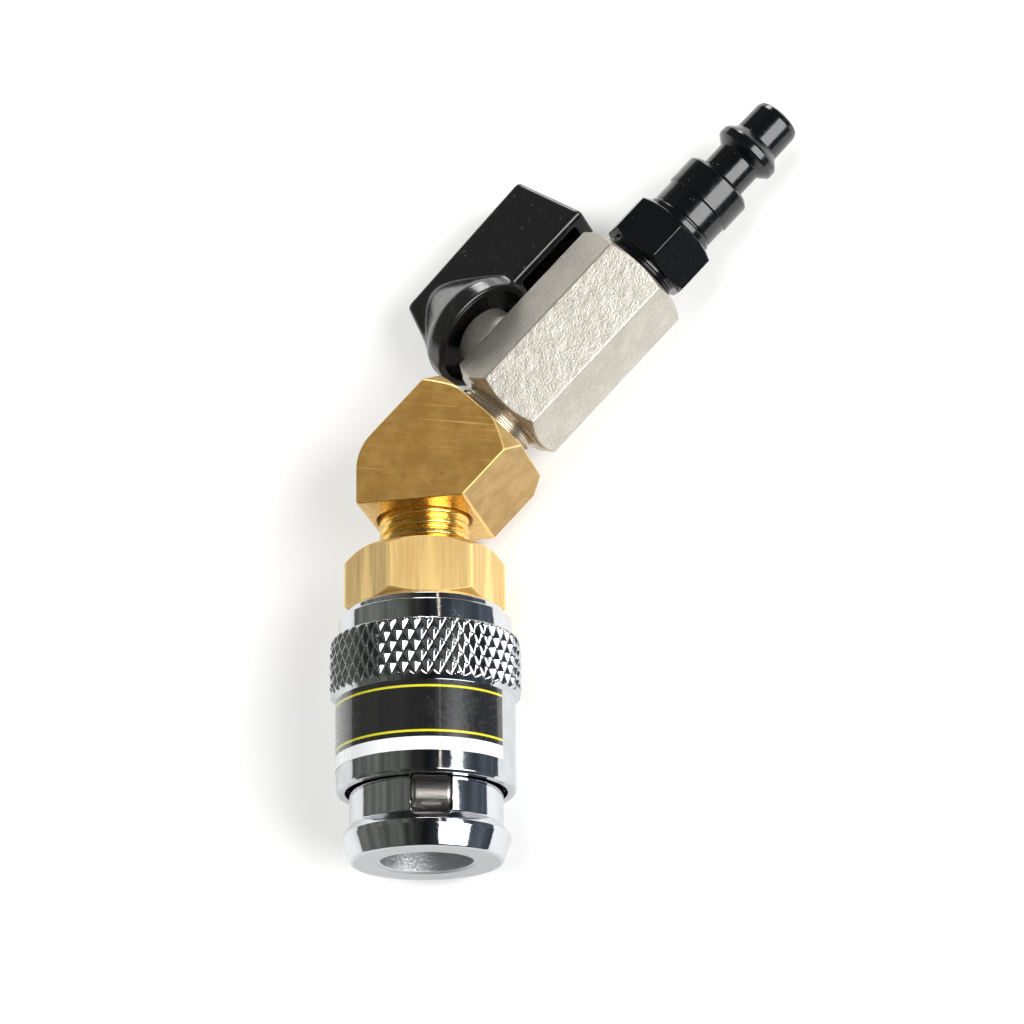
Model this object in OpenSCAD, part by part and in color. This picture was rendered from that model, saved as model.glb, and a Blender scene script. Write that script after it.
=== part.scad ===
// Angled air chuck: a quick-connect chuck on a 45 degree elbow, with a mini
// ball valve and a male quick-coupler plug. All sizes are in millimetres.
//
// The pieces are drawn in a working frame: the chuck's axis is Z with its mouth
// at z = 0, and the elbow bends towards +X. place() then lays the whole fitting
// down as it rests on a table.

/* [Chuck] */
// Outer radius of the chuck's neck
neck_r = 11.85; // [11.8:0.05:11.9]
// Radius of the bore in the mouth
mouth_r = 7.15; // [6.9:0.05:7.3]
// Largest radius of the mouth's flange
flange_r = 12.95; // [12.4:0.05:13.6]
// Radius of the smooth collar behind the sleeve
collar_r = 13.6; // [13.5:0.05:13.65]
// Height of the chuck body's rear face above the mouth
body_h = 39.5; // [39.2:0.1:39.5]

/* [Release sleeve] */
// Outer radius of the plain part of the sleeve
sleeve_r = 13.9; // [13.7:0.05:14.1]
// Outer radius of the gripping ring
grip_r = 14.9; // [14.6:0.05:15.3]
// Height of the sleeve's front rim above the mouth
sleeve_z = 10.85; // [10.6:0.05:11]
// Thickness of the wrapped label
label_t = 0.1; // [0.06:0.01:0.15]
// Angle that the label covers
label_a = 158; // [120:1:180]

/* [Rollers] */
// Radius of a locking roller
roller_r = 2.9; // [2.6:0.05:2.9]
// Length of a locking roller
roller_l = 5.9; // [5.4:0.1:5.9]
// Width of a roller window
window_w = 6.2; // [6.1:0.05:6.6]

/* [Brass tail] */
// Hex size of the tail across flats
tail_af = 22; // [21:0.1:23]
// Radius of the tail's threaded stub
tail_thread_r = 7.1; // [6.8:0.05:7.1]

/* [Elbow] */
// Bend of the elbow
bend = 45; // [44:0.5:46]
// Thickness of the elbow between its flat faces
elbow_t = 22; // [20:0.5:24]
// Distance from the valve axis to the elbow's side faces
elbow_side = 9.23; // [8.9:0.05:9.6]
// Distance from the bend's centre to the upper end face
elbow_up = 15.4; // [15.2:0.1:15.8]

/* [Ball valve] */
// Hex size of the valve body across flats
valve_af = 18; // [17.8:0.1:18.8]
// Radius of the valve's male thread
valve_thread_r = 6.86; // [6.6:0.02:6.86]
// Radius of the ball
ball_r = 6.3; // [6.2:0.05:6.35]
// Radius of the ball's bore
ball_bore_r = 3.9; // [3:0.1:4]
// Radius of the stem
stem_r = 2.45; // [2.4:0.01:2.48]

/* [Handle] */
// Thickness of the lever's fin
fin_t = 7.4; // [6.6:0.1:8.2]
// Height of the fin's rear top corner above the valve axis
fin_h_rear = 25.8; // [24:0.1:28]
// Height of the fin's front top corner above the valve axis
fin_h_front = 26.9; // [25:0.1:29]
// Radius of the round hub
hub_r = 9.55; // [9:0.05:9.6]

/* [Plug] */
// Hex size of the plug across flats
plug_af = 14.5; // [14:0.1:15]
// Radius of the plug's nose
nose_r = 4; // [3.8:0.02:4.05]
// Radius of the plug's latch ring
latch_r = 5.43; // [5.2:0.02:5.7]
// Radius of the plug's bore
plug_bore_r = 2.75; // [2:0.05:3]

/* [Hidden] */
$fn = 96;
e = 0.05;                      // overlap of cutting tools
bend_z = 59.4;                 // height of the bend's centre above the mouth
window_a = -72.2;              // direction of the front window
window_z0 = 4.47;              // lower end of a window
window_z1 = 12.95;             // upper end of a window
roller_at = [9.15, 8.5];       // radius and height of a roller's centre
land_z = [14.1, 16.6];         // guiding land inside the sleeve
chamber_r = 13.05;             // sleeve's spring chamber
stem_q = 26.1;                 // stem's place along the valve axis
valve_roll = 169.4;            // direction of the stem about the valve axis
valve_q = [18, 49.2];          // ends of the valve's hex
hub_h = 12.7;                  // underside of the handle's hub
fin_h = 13.2;                  // underside of the handle's fin
plug_roll = -64.3;             // direction of one corner of the plug's hex
tail_roll = 18;                // direction of one corner of the tail's hex
elbow_low = -4.3;              // elbow's lower face, from the bend's centre
elbow_left = -8.3;             // elbow's side face
elbow_cone = 27;               // radius plus height on the turned upper end
hub_wall = 15.5;               // top of the hub's round wall
hub_room = [8.3, 15.2];        // radius and top of the hollow under the hub
// lying position of the whole fitting
lie_rot = [-92.341, 2.951, 0];
lie_mov = [-23.133, -60.19, 16.246];

// Places -------------------------------------------------------------------

// the fitting as it lies on the table
module place() { translate(lie_mov) rotate(lie_rot) children(); }

// the frame of the valve: its axis is Z and the bend's centre is z = 0
module on_valve() { translate([0, 0, bend_z]) rotate([0, bend, 0]) children(); }

// the frame of the stem: the stem's axis is Z, the valve's axis points along +X
module on_stem() {
    on_valve() rotate([0, 0, valve_roll]) translate([0, 0, stem_q])
        rotate([0, 90, 0]) rotate([0, 0, 180]) children();
}

// Shapes -------------------------------------------------------------------

// a ring of round section
module ring(r, wire) { rotate_extrude() translate([r, 0]) circle(r = wire, $fn = 40); }

// a hex nut shape with turned chamfers: a = size across flats
module hex_bar(a, z0, z1, cut0, cut1) {
    rc = a / 2 / cos(30);
    intersection() {
        translate([0, 0, z0]) cylinder(r = rc, h = z1 - z0, $fn = 6);
        rotate_extrude() polygon([
            [0, z0], [rc - cut0[0], z0], [rc + 0.01, z0 + cut0[1]],
            [rc + 0.01, z1 - cut1[1]], [rc - cut1[0], z1], [0, z1]]);
    }
}

// points of one coil: radius, start, end, turns
function coil(r, z0, z1, turns, steps) =
    [for (i = [0 : steps]) let (f = i / steps,
        dead = 0.75 / turns,
        g = f < dead ? 0 : f > 1 - dead ? 1 : (f - dead) / (1 - 2 * dead),
        a = 360 * turns * f)
        [r * cos(a), r * sin(a), z0 + (z1 - z0) * g, a]];

// a round wire swept along coil points
module coil_wire(pts, wire, sides = 8) {
    n = len(pts);
    verts = [for (p = pts) for (k = [0 : sides - 1])
        let (b = 360 * k / sides, w = wire * cos(b))
        [p[0] + w * cos(p[3]), p[1] + w * sin(p[3]), p[2] + wire * sin(b)]];
    skin = [for (i = [0 : n - 2]) for (k = [0 : sides - 1])
        let (k2 = (k + 1) % sides)
        [i * sides + k, i * sides + k2, (i + 1) * sides + k2, (i + 1) * sides + k]];
    ends = [[for (k = [sides - 1 : -1 : 0]) k],
            [for (k = [0 : sides - 1]) (n - 1) * sides + k]];
    polyhedron(points = verts, faces = concat(skin, ends), convexity = 10);
}

// one roller window, cut through the neck along its radius
module window(a) {
    c = 1.7;
    w = window_w / 2;
    rotate([0, 0, a]) {
        translate([5.5, -w, window_z0 + c]) cube([8, window_w, window_z1 - window_z0 - c]);
        translate([5.5, -w + c, window_z0]) cube([8, window_w - 2 * c, c + e]);
        for (s = [-1, 1])
            translate([5.5, s * (w - c), window_z0 + c]) rotate([0, 90, 0])
                cylinder(r = c, h = 8, $fn = 40);
    }
}

// Chuck --------------------------------------------------------------------

module coupler_body() {
    color([0.80, 0.81, 0.82]) place() difference() {
        rotate_extrude() polygon([
            [mouth_r + 0.35, 0], [11.7, 0], [12.05, 0.3], [flange_r, 3.3],
            [flange_r, 3.95], [neck_r + 0.05, 5.4], [neck_r, 5.5],
            [neck_r, 13.0], [11.4, 13.0], [11.4, 14.12], [neck_r, 14.12],
            [neck_r, 34.3], [collar_r, 34.3], [collar_r, 38.0], [collar_r - 0.3, 38.3],
            [12.45, 38.3], [12.45, body_h - 0.2], [12.25, body_h],
            [9.0, body_h], [9.0, 31.0], [8.0, 31.0], [8.0, 22.0],
            [4.6, 22.0], [4.6, 19.0], [6.6, 19.0], [6.6, 16.8],
            [9.0, 16.8], [9.0, 14.2], [7.4, 14.2], [7.4, 4.4], [mouth_r, 4.4], [mouth_r, 0.4]]);
        for (i = [0 : 2]) window(window_a + 120 * i);
    }
}

module release_sleeve() {
    color([0.80, 0.81, 0.82]) place() rotate_extrude() polygon([
        [12.5, sleeve_z + 0.12], [12.62, sleeve_z], [13.55, sleeve_z],
        [sleeve_r, sleeve_z + 0.4], [sleeve_r, 25.3], [grip_r - 0.35, 25.9],
        [grip_r, 26.7], [grip_r, 33.3], [grip_r - 0.25, 34.6], [grip_r - 0.55, 35.0],
        [13.7, 35.0], [13.7, 30.1], [chamber_r, 30.1],
        [chamber_r, land_z[1]], [neck_r + 0.07, land_z[1]],
        [neck_r + 0.07, land_z[0]], [13.0, land_z[0]],
        [13.0, sleeve_z + 1.3], [12.5, sleeve_z + 0.9]]);
}

// wrapped round the sleeve's plain part, ahead of the gripping ring
module sleeve_label() {
    color([0.05, 0.05, 0.055]) place() rotate([0, 0, -19.8 - label_a])
        rotate_extrude(angle = label_a)
            translate([sleeve_r, 14.2]) square([label_t, 11]);
}

module sleeve_spring() {
    color([0.62, 0.62, 0.60]) place()
        coil_wire(coil(12.45, land_z[1] + 0.55, 33.75, 7, 168), 0.48);
}

// open wire ring in the groove ahead of the land
module sleeve_stop_ring() {
    color([0.55, 0.55, 0.54]) place() rotate([0, 0, window_a + 75])
        rotate_extrude(angle = 330) translate([11.93, 13.56]) circle(r = 0.48, $fn = 24);
}

// a roller with rounded ends, lying across window number i
module locking_roller(i) {
    c = 0.6;
    h = roller_l / 2;
    n = 6;
    color([0.66, 0.65, 0.63]) place() rotate([0, 0, window_a + 120 * i])
        translate([roller_at[0], 0, roller_at[1]]) rotate([90, 0, 0])
            rotate_extrude() polygon(concat(
                [[0, -h]],
                [for (k = [0 : n]) [roller_r - c + c * sin(90 * k / n), -h + c - c * cos(90 * k / n)]],
                [for (k = [0 : n]) [roller_r - c + c * cos(90 * k / n), h - c + c * sin(90 * k / n)]],
                [[0, h]]));
}

module locking_roller_1() { locking_roller(0); }
module locking_roller_2() { locking_roller(1); }
module locking_roller_3() { locking_roller(2); }

module mouth_seal() {
    color([0.06, 0.06, 0.06]) place() translate([0, 0, 15.5]) ring(7.8, 1.15);
}

// hollow nose through the seat, flow holes, and a head that closes on the seat
module poppet() {
    color([0.78, 0.62, 0.34]) place() difference() {
        rotate_extrude() polygon([
            [2.7, 17.2], [4.3, 17.2], [4.55, 17.45], [4.55, 23.0], [6.8, 23.0],
            [6.8, 25.2], [6.6, 25.4], [3.6, 25.4], [3.4, 28.2], [0, 28.2],
            [0, 21.6], [2.7, 21.6]]);
        for (a = [0, 60, 120])
            translate([0, 0, 20.0]) rotate([90, 0, a])
                cylinder(r = 1.3, h = 20, center = true, $fn = 32);
    }
}

module poppet_seal() {
    color([0.07, 0.07, 0.07]) place() rotate_extrude() polygon([
        [4.62, 22.02], [6.3, 22.02], [6.5, 22.2], [6.5, 22.98], [4.62, 22.98]]);
}

module poppet_spring() {
    color([0.62, 0.62, 0.60]) place() coil_wire(coil(4.9, 25.86, 34.6, 5, 110), 0.4);
}

module body_seal() {
    color([0.07, 0.07, 0.07]) place() translate([0, 0, 36.2]) ring(8.33, 0.62);
}

// Brass tail: threaded into the chuck, hex, and threaded stub for the elbow
module tail_adapter() {
    color([0.80, 0.66, 0.40]) place() difference() {
        union() {
            rotate([0, 0, tail_roll]) hex_bar(tail_af, 40.2, 49.1, [1.7, 0.65], [1.75, 1.3]);
            rotate_extrude() polygon([
                [0, 31.15], [8.7, 31.15], [8.97, 31.45], [8.97, 35.4], [7.66, 35.4],
                [7.66, 37.0], [8.97, 37.0], [8.97, body_h + 0.02], [11.3, body_h + 0.02],
                [11.3, 40.25], [0, 40.25]]);
            rotate_extrude() polygon([
                [0, 49.0], [tail_thread_r, 49.0], [tail_thread_r, 61.4],
                [tail_thread_r - 0.4, 61.8], [0, 61.8]]);
        }
        translate([0, 0, 30]) cylinder(r = 4, h = 40);
        translate([0, 0, 30]) cylinder(r = 5.9, h = 5.0);
    }
}

// Elbow: bar of even thickness, one rounded outer corner, turned upper end
module elbow_outline() {
    s = elbow_side;
    lo = elbow_low;
    left = elbow_left;
    r = 8;
    c = cos(bend);
    n = sin(bend);
    // end corners of the upper arm
    in_x = elbow_up * n + s * c;
    in_z = elbow_up * c - s * n;
    out_x = elbow_up * n - s * c;
    out_z = elbow_up * c + s * n;
    // where the inner side meets the lower face
    foot_x = (s + lo * n) / c;
    // centre of the rounded corner, touching the left face and the outer side
    cx = left + r;
    cz = (cx * c + s - r) / n;
    polygon(concat([[left, lo], [foot_x, lo], [in_x, in_z], [out_x, out_z]],
        [for (k = [0 : 12]) let (a = 135 + 45 * k / 12) [cx + r * cos(a), cz + r * sin(a)]]));
}

module elbow() {
    color([0.72, 0.55, 0.28]) place() difference() {
        translate([0, 0, bend_z]) intersection() {
            rotate([90, 0, 0]) translate([0, 0, -elbow_t / 2])
                linear_extrude(elbow_t) elbow_outline();
            rotate([0, bend, 0]) rotate_extrude() polygon([
                [0, -30], [30, -30], [30, elbow_cone - 30],
                [elbow_cone - elbow_up, elbow_up], [0, elbow_up]]);
        }
        // lower port
        translate([0, 0, bend_z - 5]) cylinder(r = tail_thread_r + 0.02, h = 7.6);
        translate([0, 0, bend_z - 5]) cylinder(r = 4.3, h = 6.5);
        translate([0, 0, bend_z]) sphere(r = 4.3);
        // upper port
        on_valve() translate([0, 0, 6.9]) cylinder(r = valve_thread_r + 0.02, h = 12);
        on_valve() cylinder(r = 4.3, h = 9);
    }
}

// Ball valve -----------------------------------------------------------------

module valve_body() {
    q0 = valve_q[0];
    q1 = valve_q[1];
    color([0.80, 0.78, 0.74]) place() on_valve() rotate([0, 0, valve_roll]) difference() {
        union() {
            rotate([0, 0, 30]) hex_bar(valve_af, q0, q1, [1.85, 1.3], [1.5, 0.75]);
            rotate_extrude() polygon([
                [0, 7.2], [valve_thread_r - 0.5, 7.2], [valve_thread_r, 7.7],
                [valve_thread_r, q0 - 0.9], [7.6, q0 - 0.2], [8.2, q0 + e], [0, q0 + e]]);
            // boss round the stem
            translate([0, 0, stem_q]) rotate([0, 90, 0]) rotate_extrude()
                polygon([[0, 8], [5.5, 8], [5.2, 9.6], [5.1, 12.9], [4.7, 13.3], [0, 13.3]]);
        }
        // flow passage, ball chamber and female thread
        translate([0, 0, 6]) cylinder(r = 3.9, h = 20);
        translate([0, 0, 20]) cylinder(r = 7.0, h = 18.1);
        translate([0, 0, 38]) cylinder(r = 6.9, h = 12);
        translate([0, 0, q1 - 0.6]) cylinder(r1 = 6.9, r2 = 7.6, h = 0.7);
        // stem bore and its inner counterbore
        translate([0, 0, stem_q]) rotate([0, 90, 0]) cylinder(r = stem_r + 0.05, h = 16);
        translate([0, 0, stem_q]) rotate([0, 90, 0]) cylinder(r = 3.5, h = 7.5);
    }
}

module valve_ball() {
    color([0.78, 0.79, 0.80]) place() on_stem() difference() {
        sphere(r = ball_r);
        rotate([0, 90, 0]) cylinder(r = ball_bore_r, h = 20, center = true);
        translate([-1.3, -8, 4.6]) cube([2.6, 16, 4]);
    }
}

// a seat ring: q0 and q1 along the valve axis
module seat(q0, q1) {
    color([0.92, 0.92, 0.90]) place() on_valve() difference() {
        translate([0, 0, q0]) cylinder(r = 6.95, h = q1 - q0);
        translate([0, 0, q0 - 1]) cylinder(r = 4.0, h = 6);
        translate([0, 0, stem_q]) sphere(r = ball_r + 0.03);
    }
}
module ball_seat_outlet() { seat(20.02, 22.8); }
module ball_seat_inlet() { seat(29.4, 32.2); }

module seat_retainer() {
    color([0.78, 0.64, 0.38]) place() on_valve() difference() {
        translate([0, 0, 32.22]) cylinder(r = 6.88, h = 4.6);
        translate([0, 0, 31]) cylinder(r = 4.0, h = 8);
        // slots for the assembly key
        translate([-8, -1, 35.6]) cube([16, 2, 3]);
    }
}

module valve_stem() {
    color([0.76, 0.62, 0.36]) place() on_stem() difference() {
        union() {
            intersection() {
                translate([-1.25, -3, 4.65]) cube([2.5, 6, 2]);
                cylinder(r = 3.0, h = 8);
            }
            rotate_extrude() polygon([
                [0, 6.4], [3.3, 6.4], [3.3, 7.4], [stem_r, 7.4], [stem_r, 9.6],
                [1.6, 9.6], [1.6, 10.6], [stem_r, 10.6], [stem_r, 13.7], [0, 13.7]]);
            intersection() {
                translate([-1.8, -1.8, 13.6]) cube([3.6, 3.6, 5.0]);
                cylinder(r = 2.4, h = 20);
            }
        }
        translate([0, 0, 13.8]) cylinder(r = 1.22, h = 8, $fn = 40);
    }
}

module stem_seal() {
    color([0.07, 0.07, 0.07]) place() on_stem() translate([0, 0, 10.1]) ring(2.06, 0.42);
}

// Handle ---------------------------------------------------------------------

// side view of the fin, with rounded corners; in = distance inside the outline
module fin_outline(in = 0) {
    c = 1.2;
    corners = [[-9.3 + c + in, fin_h + c * 0.4], [-4.6 + c + in, fin_h_rear - c - in],
               [23.0 - c - in, fin_h_front - c - in], [25.3 - c - in, fin_h + c * 0.4]];
    hull() for (p = corners) translate(p) circle(r = c, $fn = 32);
}

module handle() {
    color([0.035, 0.035, 0.04]) place() on_stem() difference() {
        union() {
            // fin
            intersection() {
                rotate([90, 0, 0]) translate([0, 0, -fin_t / 2]) linear_extrude(fin_t) fin_outline();
                translate([-30, -30, fin_h]) cube([80, 60, 40]);
            }
            // hub
            rotate_extrude() polygon([
                [0, hub_h], [hub_r - 0.3, hub_h], [hub_r, hub_h + 0.4], [hub_r, hub_wall],
                [hub_r - 0.5, hub_wall + 0.6], [4.2, 22.8], [0, 22.8]]);
        }
        // hollow underside of the fin
        intersection() {
            translate([hub_r + 0.6, -fin_t / 2 + 1.7, fin_h - 1]) cube([30, fin_t - 3.4, 30]);
            rotate([90, 0, 0]) translate([0, 0, -6]) linear_extrude(12)
                polygon([[0, fin_h - 1], [0, fin_h_rear - 1.9], [21.2, fin_h_front - 1.9], [23.4, fin_h - 1]]);
        }
        // hollow under the hub, square drive, screw hole and screw-head pocket
        translate([0, 0, hub_h - 1]) cylinder(r = hub_room[0], h = hub_room[1] - hub_h + 1);
        translate([-1.84, -1.84, hub_h]) cube([3.68, 3.68, 6.05]);
        cylinder(r = 1.35, h = 24, $fn = 40);
        translate([0, 0, 19.2]) cylinder(r = 2.4, h = 12, $fn = 48);
    }
}

module handle_screw() {
    color([0.55, 0.55, 0.54]) place() on_stem() difference() {
        rotate_extrude() polygon([
            [0, 14.2], [0.9, 14.2], [1.2, 14.5], [1.2, 19.22], [2.2, 19.22],
            [2.2, 20.4], [1.8, 20.8], [0, 20.8]]);
        // cross recess
        for (a = [0, 90]) rotate([0, 0, a]) translate([-1.2, -0.25, 20.0]) cube([2.4, 0.5, 2]);
    }
}

// Plug -----------------------------------------------------------------------

module quick_plug() {
    color([0.05, 0.05, 0.055]) place() on_valve() rotate([0, 0, plug_roll]) difference() {
        union() {
            hex_bar(plug_af, 51.2, 59.0, [0.9, 0.7], [1.5, 0.9]);
            rotate_extrude() polygon([
                [0, 40.6], [6.4, 40.6], [6.84, 41.1], [6.84, 50.2], [6.3, 50.6],
                [6.3, 51.25], [0, 51.25]]);
            rotate_extrude() polygon([
                [0, 58.9], [5.9, 58.9], [5.9, 60.0], [5.5, 60.3], [5.68, 60.6],
                [5.68, 64.0], [5.95, 64.2], [5.95, 68.7], [5.5, 69.2], [3.92, 69.6],
                [3.92, 74.0], [latch_r - 0.15, 75.1], [latch_r, 75.35], [latch_r, 76.5],
                [latch_r - 0.15, 76.75], [nose_r + 0.1, 77.9], [nose_r, 78.1],
                [nose_r, 82.6], [nose_r - 0.25, 83.3], [nose_r - 0.8, 83.8], [0, 83.8]]);
        }
        translate([0, 0, 40]) cylinder(r = plug_bore_r, h = 50);
        translate([0, 0, 40]) cylinder(r = 4.2, h = 6);
        translate([0, 0, 83.4]) cylinder(r1 = plug_bore_r, r2 = plug_bore_r + 0.5, h = 0.5);
    }
}

coupler_body();
release_sleeve();
sleeve_label();
sleeve_spring();
sleeve_stop_ring();
locking_roller_1();
locking_roller_2();
locking_roller_3();
mouth_seal();
poppet();
poppet_seal();
poppet_spring();
body_seal();
tail_adapter();
elbow();
valve_body();
valve_ball();
ball_seat_inlet();
ball_seat_outlet();
seat_retainer();
valve_stem();
stem_seal();
handle();
handle_screw();
quick_plug();
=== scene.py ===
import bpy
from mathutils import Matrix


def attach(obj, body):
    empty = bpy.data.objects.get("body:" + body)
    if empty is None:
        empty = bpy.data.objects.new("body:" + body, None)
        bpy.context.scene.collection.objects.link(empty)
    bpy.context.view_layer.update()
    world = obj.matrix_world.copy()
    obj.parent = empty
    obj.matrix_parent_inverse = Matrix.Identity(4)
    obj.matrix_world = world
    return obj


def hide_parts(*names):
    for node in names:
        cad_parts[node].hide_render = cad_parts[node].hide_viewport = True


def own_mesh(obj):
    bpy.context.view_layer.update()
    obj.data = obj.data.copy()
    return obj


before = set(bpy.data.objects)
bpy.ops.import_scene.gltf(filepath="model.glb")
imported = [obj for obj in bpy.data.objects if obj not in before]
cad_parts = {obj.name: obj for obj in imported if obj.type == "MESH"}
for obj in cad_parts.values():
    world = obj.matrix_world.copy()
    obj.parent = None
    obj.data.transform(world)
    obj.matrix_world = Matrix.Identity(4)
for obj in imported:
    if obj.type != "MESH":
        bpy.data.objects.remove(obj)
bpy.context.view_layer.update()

import math

import bpy
import numpy as np
from mathutils import Matrix, Vector

scene = bpy.context.scene

# ---------------------------------------------------------------- places (mm)


def turn(axis, deg):
    c, s = math.cos(math.radians(deg)), math.sin(math.radians(deg))
    m = np.eye(4)
    i, j = {"x": (1, 2), "y": (2, 0), "z": (0, 1)}[axis]
    m[i, i], m[i, j], m[j, i], m[j, j] = c, -s, s, c
    return m


def shift(x, y, z):
    m = np.eye(4)
    m[:3, 3] = (x, y, z)
    return m


BEND_Z = 59.4
CHUCK = shift(-23.133, -60.19, 16.246) @ turn("y", 2.951) @ turn("x", -92.341)
BEND = CHUCK @ shift(0, 0, BEND_Z)
VALVE = BEND @ turn("y", 45)
STEM = VALVE @ turn("z", 169.4) @ shift(0, 0, 26.1) @ turn("y", 90) @ turn("z", 180)


def row(place, p):
    return (np.asarray(p, float) @ place[:3, :3].T + place[:3, 3]) * 0.001


def row_dir(place, d):
    v = place[:3, :3] @ np.asarray(d, float)
    return v / np.linalg.norm(v)


# ------------------------------------------------------------------- camera

back = Vector((0.247283, -0.292543, 0.923724)).normalized()
right = Vector((0.96525, -0.00863, -0.26119)).normalized()
up = back.cross(right).normalized()
right = up.cross(back).normalized()
bend_at = Vector((-0.023258, -0.00084, 0.013823))
roll = math.radians(-0.9)
right, up = (
    right * math.cos(roll) + up * math.sin(roll),
    up * math.cos(roll) - right * math.sin(roll),
)
cam_at = bend_at + right * 0.013866 - up * 0.002536 + back * 0.5071
cam_data = bpy.data.cameras.new("camera")
cam_data.lens = 112.5
cam_data.sensor_width = 36.0
cam_data.clip_start, cam_data.clip_end = 0.01, 20.0
cam = bpy.data.objects.new("camera", cam_data)
scene.collection.objects.link(cam)
cam.matrix_world = Matrix(
    (
        (right.x, up.x, back.x, cam_at.x),
        (right.y, up.y, back.y, cam_at.y),
        (right.z, up.z, back.z, cam_at.z),
        (0, 0, 0, 1),
    )
)
scene.camera = cam
scene.view_settings.view_transform = "Standard"
scene.view_settings.look = "None"

# ---------------------------------------------------------------- node helper


class Nodes:
    """A node material whose coordinates are the piece's own frame, in mm."""

    def __init__(self, name, place=None, **values):
        self.mat = bpy.data.materials.new(name)
        self.mat.use_nodes = True
        self.t = self.mat.node_tree
        self.t.nodes.clear()
        self.out = self.t.nodes.new("ShaderNodeOutputMaterial")
        self.sh = self.t.nodes.new("ShaderNodeBsdfPrincipled")
        self.link(self.sh.outputs[0], self.out.inputs[0])
        for k, v in values.items():
            self.set(k.replace("_", " "), v)
        coords = self.t.nodes.new("ShaderNodeTexCoord").outputs["Object"]
        m = np.eye(4) if place is None else np.linalg.inv(place)
        mapping = self.t.nodes.new("ShaderNodeMapping")
        mapping.inputs["Location"].default_value = tuple(m[:3, 3])
        mapping.inputs["Rotation"].default_value = tuple(
            Matrix(m[:3, :3].tolist()).to_euler("XYZ")
        )
        mapping.inputs["Scale"].default_value = (1000, 1000, 1000)
        self.link(coords, mapping.inputs["Vector"])
        self.p = mapping.outputs[0]
        self.height = None

    def link(self, a, b):
        self.t.links.new(a, b)

    def set(self, name, v):
        s = self.sh.inputs[name]
        if hasattr(v, "links"):
            self.link(v, s)
        else:
            s.default_value = v

    def put(self, socket, v):
        if hasattr(v, "links"):
            self.link(v, socket)
        else:
            socket.default_value = v

    def math(self, op, a, b=0.0, c=0.0, clamp=False):
        n = self.t.nodes.new("ShaderNodeMath")
        n.operation, n.use_clamp = op, clamp
        self.put(n.inputs[0], a)
        self.put(n.inputs[1], b)
        self.put(n.inputs[2], c)
        return n.outputs[0]

    def stretch(self, sx, sy, sz, source=None, rot=(0, 0, 0)):
        n = self.t.nodes.new("ShaderNodeMapping")
        n.inputs["Scale"].default_value = (sx, sy, sz)
        n.inputs["Rotation"].default_value = rot
        self.link(self.p if source is None else source, n.inputs["Vector"])
        return n.outputs[0]

    def noise(self, scale, detail=3.0, rough=0.5, source=None, distortion=0.0):
        n = self.t.nodes.new("ShaderNodeTexNoise")
        n.inputs["Scale"].default_value = scale
        n.inputs["Detail"].default_value = detail
        n.inputs["Roughness"].default_value = rough
        n.inputs["Distortion"].default_value = distortion
        self.link(self.p if source is None else source, n.inputs["Vector"])
        return n.outputs["Fac"] if "Fac" in n.outputs else n.outputs[0]

    def voronoi(self, scale, feature="F1", source=None, randomness=1.0):
        n = self.t.nodes.new("ShaderNodeTexVoronoi")
        n.feature = feature
        n.inputs["Scale"].default_value = scale
        n.inputs["Randomness"].default_value = randomness
        self.link(self.p if source is None else source, n.inputs["Vector"])
        return n.outputs["Distance"]

    def ramp(self, v, lo, hi, a=0.0, b=1.0):
        n = self.t.nodes.new("ShaderNodeMapRange")
        n.interpolation_type = "SMOOTHSTEP"
        self.put(n.inputs["Value"], v)
        n.inputs["From Min"].default_value = lo
        n.inputs["From Max"].default_value = hi
        n.inputs["To Min"].default_value = a
        n.inputs["To Max"].default_value = b
        return n.outputs[0]

    def mix(self, f, a, b):
        n = self.t.nodes.new("ShaderNodeMix")
        n.data_type = "RGBA"
        self.put(n.inputs[0], f)
        self.put(n.inputs[6], a)
        self.put(n.inputs[7], b)
        return n.outputs[2]

    def xyz(self, source=None):
        n = self.t.nodes.new("ShaderNodeSeparateXYZ")
        self.link(self.p if source is None else source, n.inputs[0])
        return n.outputs[0], n.outputs[1], n.outputs[2]

    def radius(self):
        x, y, _ = self.xyz()
        return self.math(
            "SQRT", self.math("ADD", self.math("MULTIPLY", x, x), self.math("MULTIPLY", y, y))
        )

    def attribute(self, name):
        n = self.t.nodes.new("ShaderNodeAttribute")
        n.attribute_name = name
        return n.outputs["Fac"]

    def bump(self, height, depth_mm, strength=1.0):
        n = self.t.nodes.new("ShaderNodeBump")
        n.inputs["Strength"].default_value = strength
        n.inputs["Distance"].default_value = depth_mm * 0.001
        self.link(height, n.inputs["Height"])
        if self.height is not None:
            self.link(self.height, n.inputs["Normal"])
        self.height = n.outputs[0]
        self.link(self.height, self.sh.inputs["Normal"])


def rgb(r, g, b):
    """Colour from 0-255 sRGB numbers."""
    f = lambda c: c / 12.92 if c <= 0.04045 else ((c + 0.055) / 1.055) ** 2.4
    return (f(r / 255), f(g / 255), f(b / 255), 1.0)


# ------------------------------------------------------------------ materials


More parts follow.
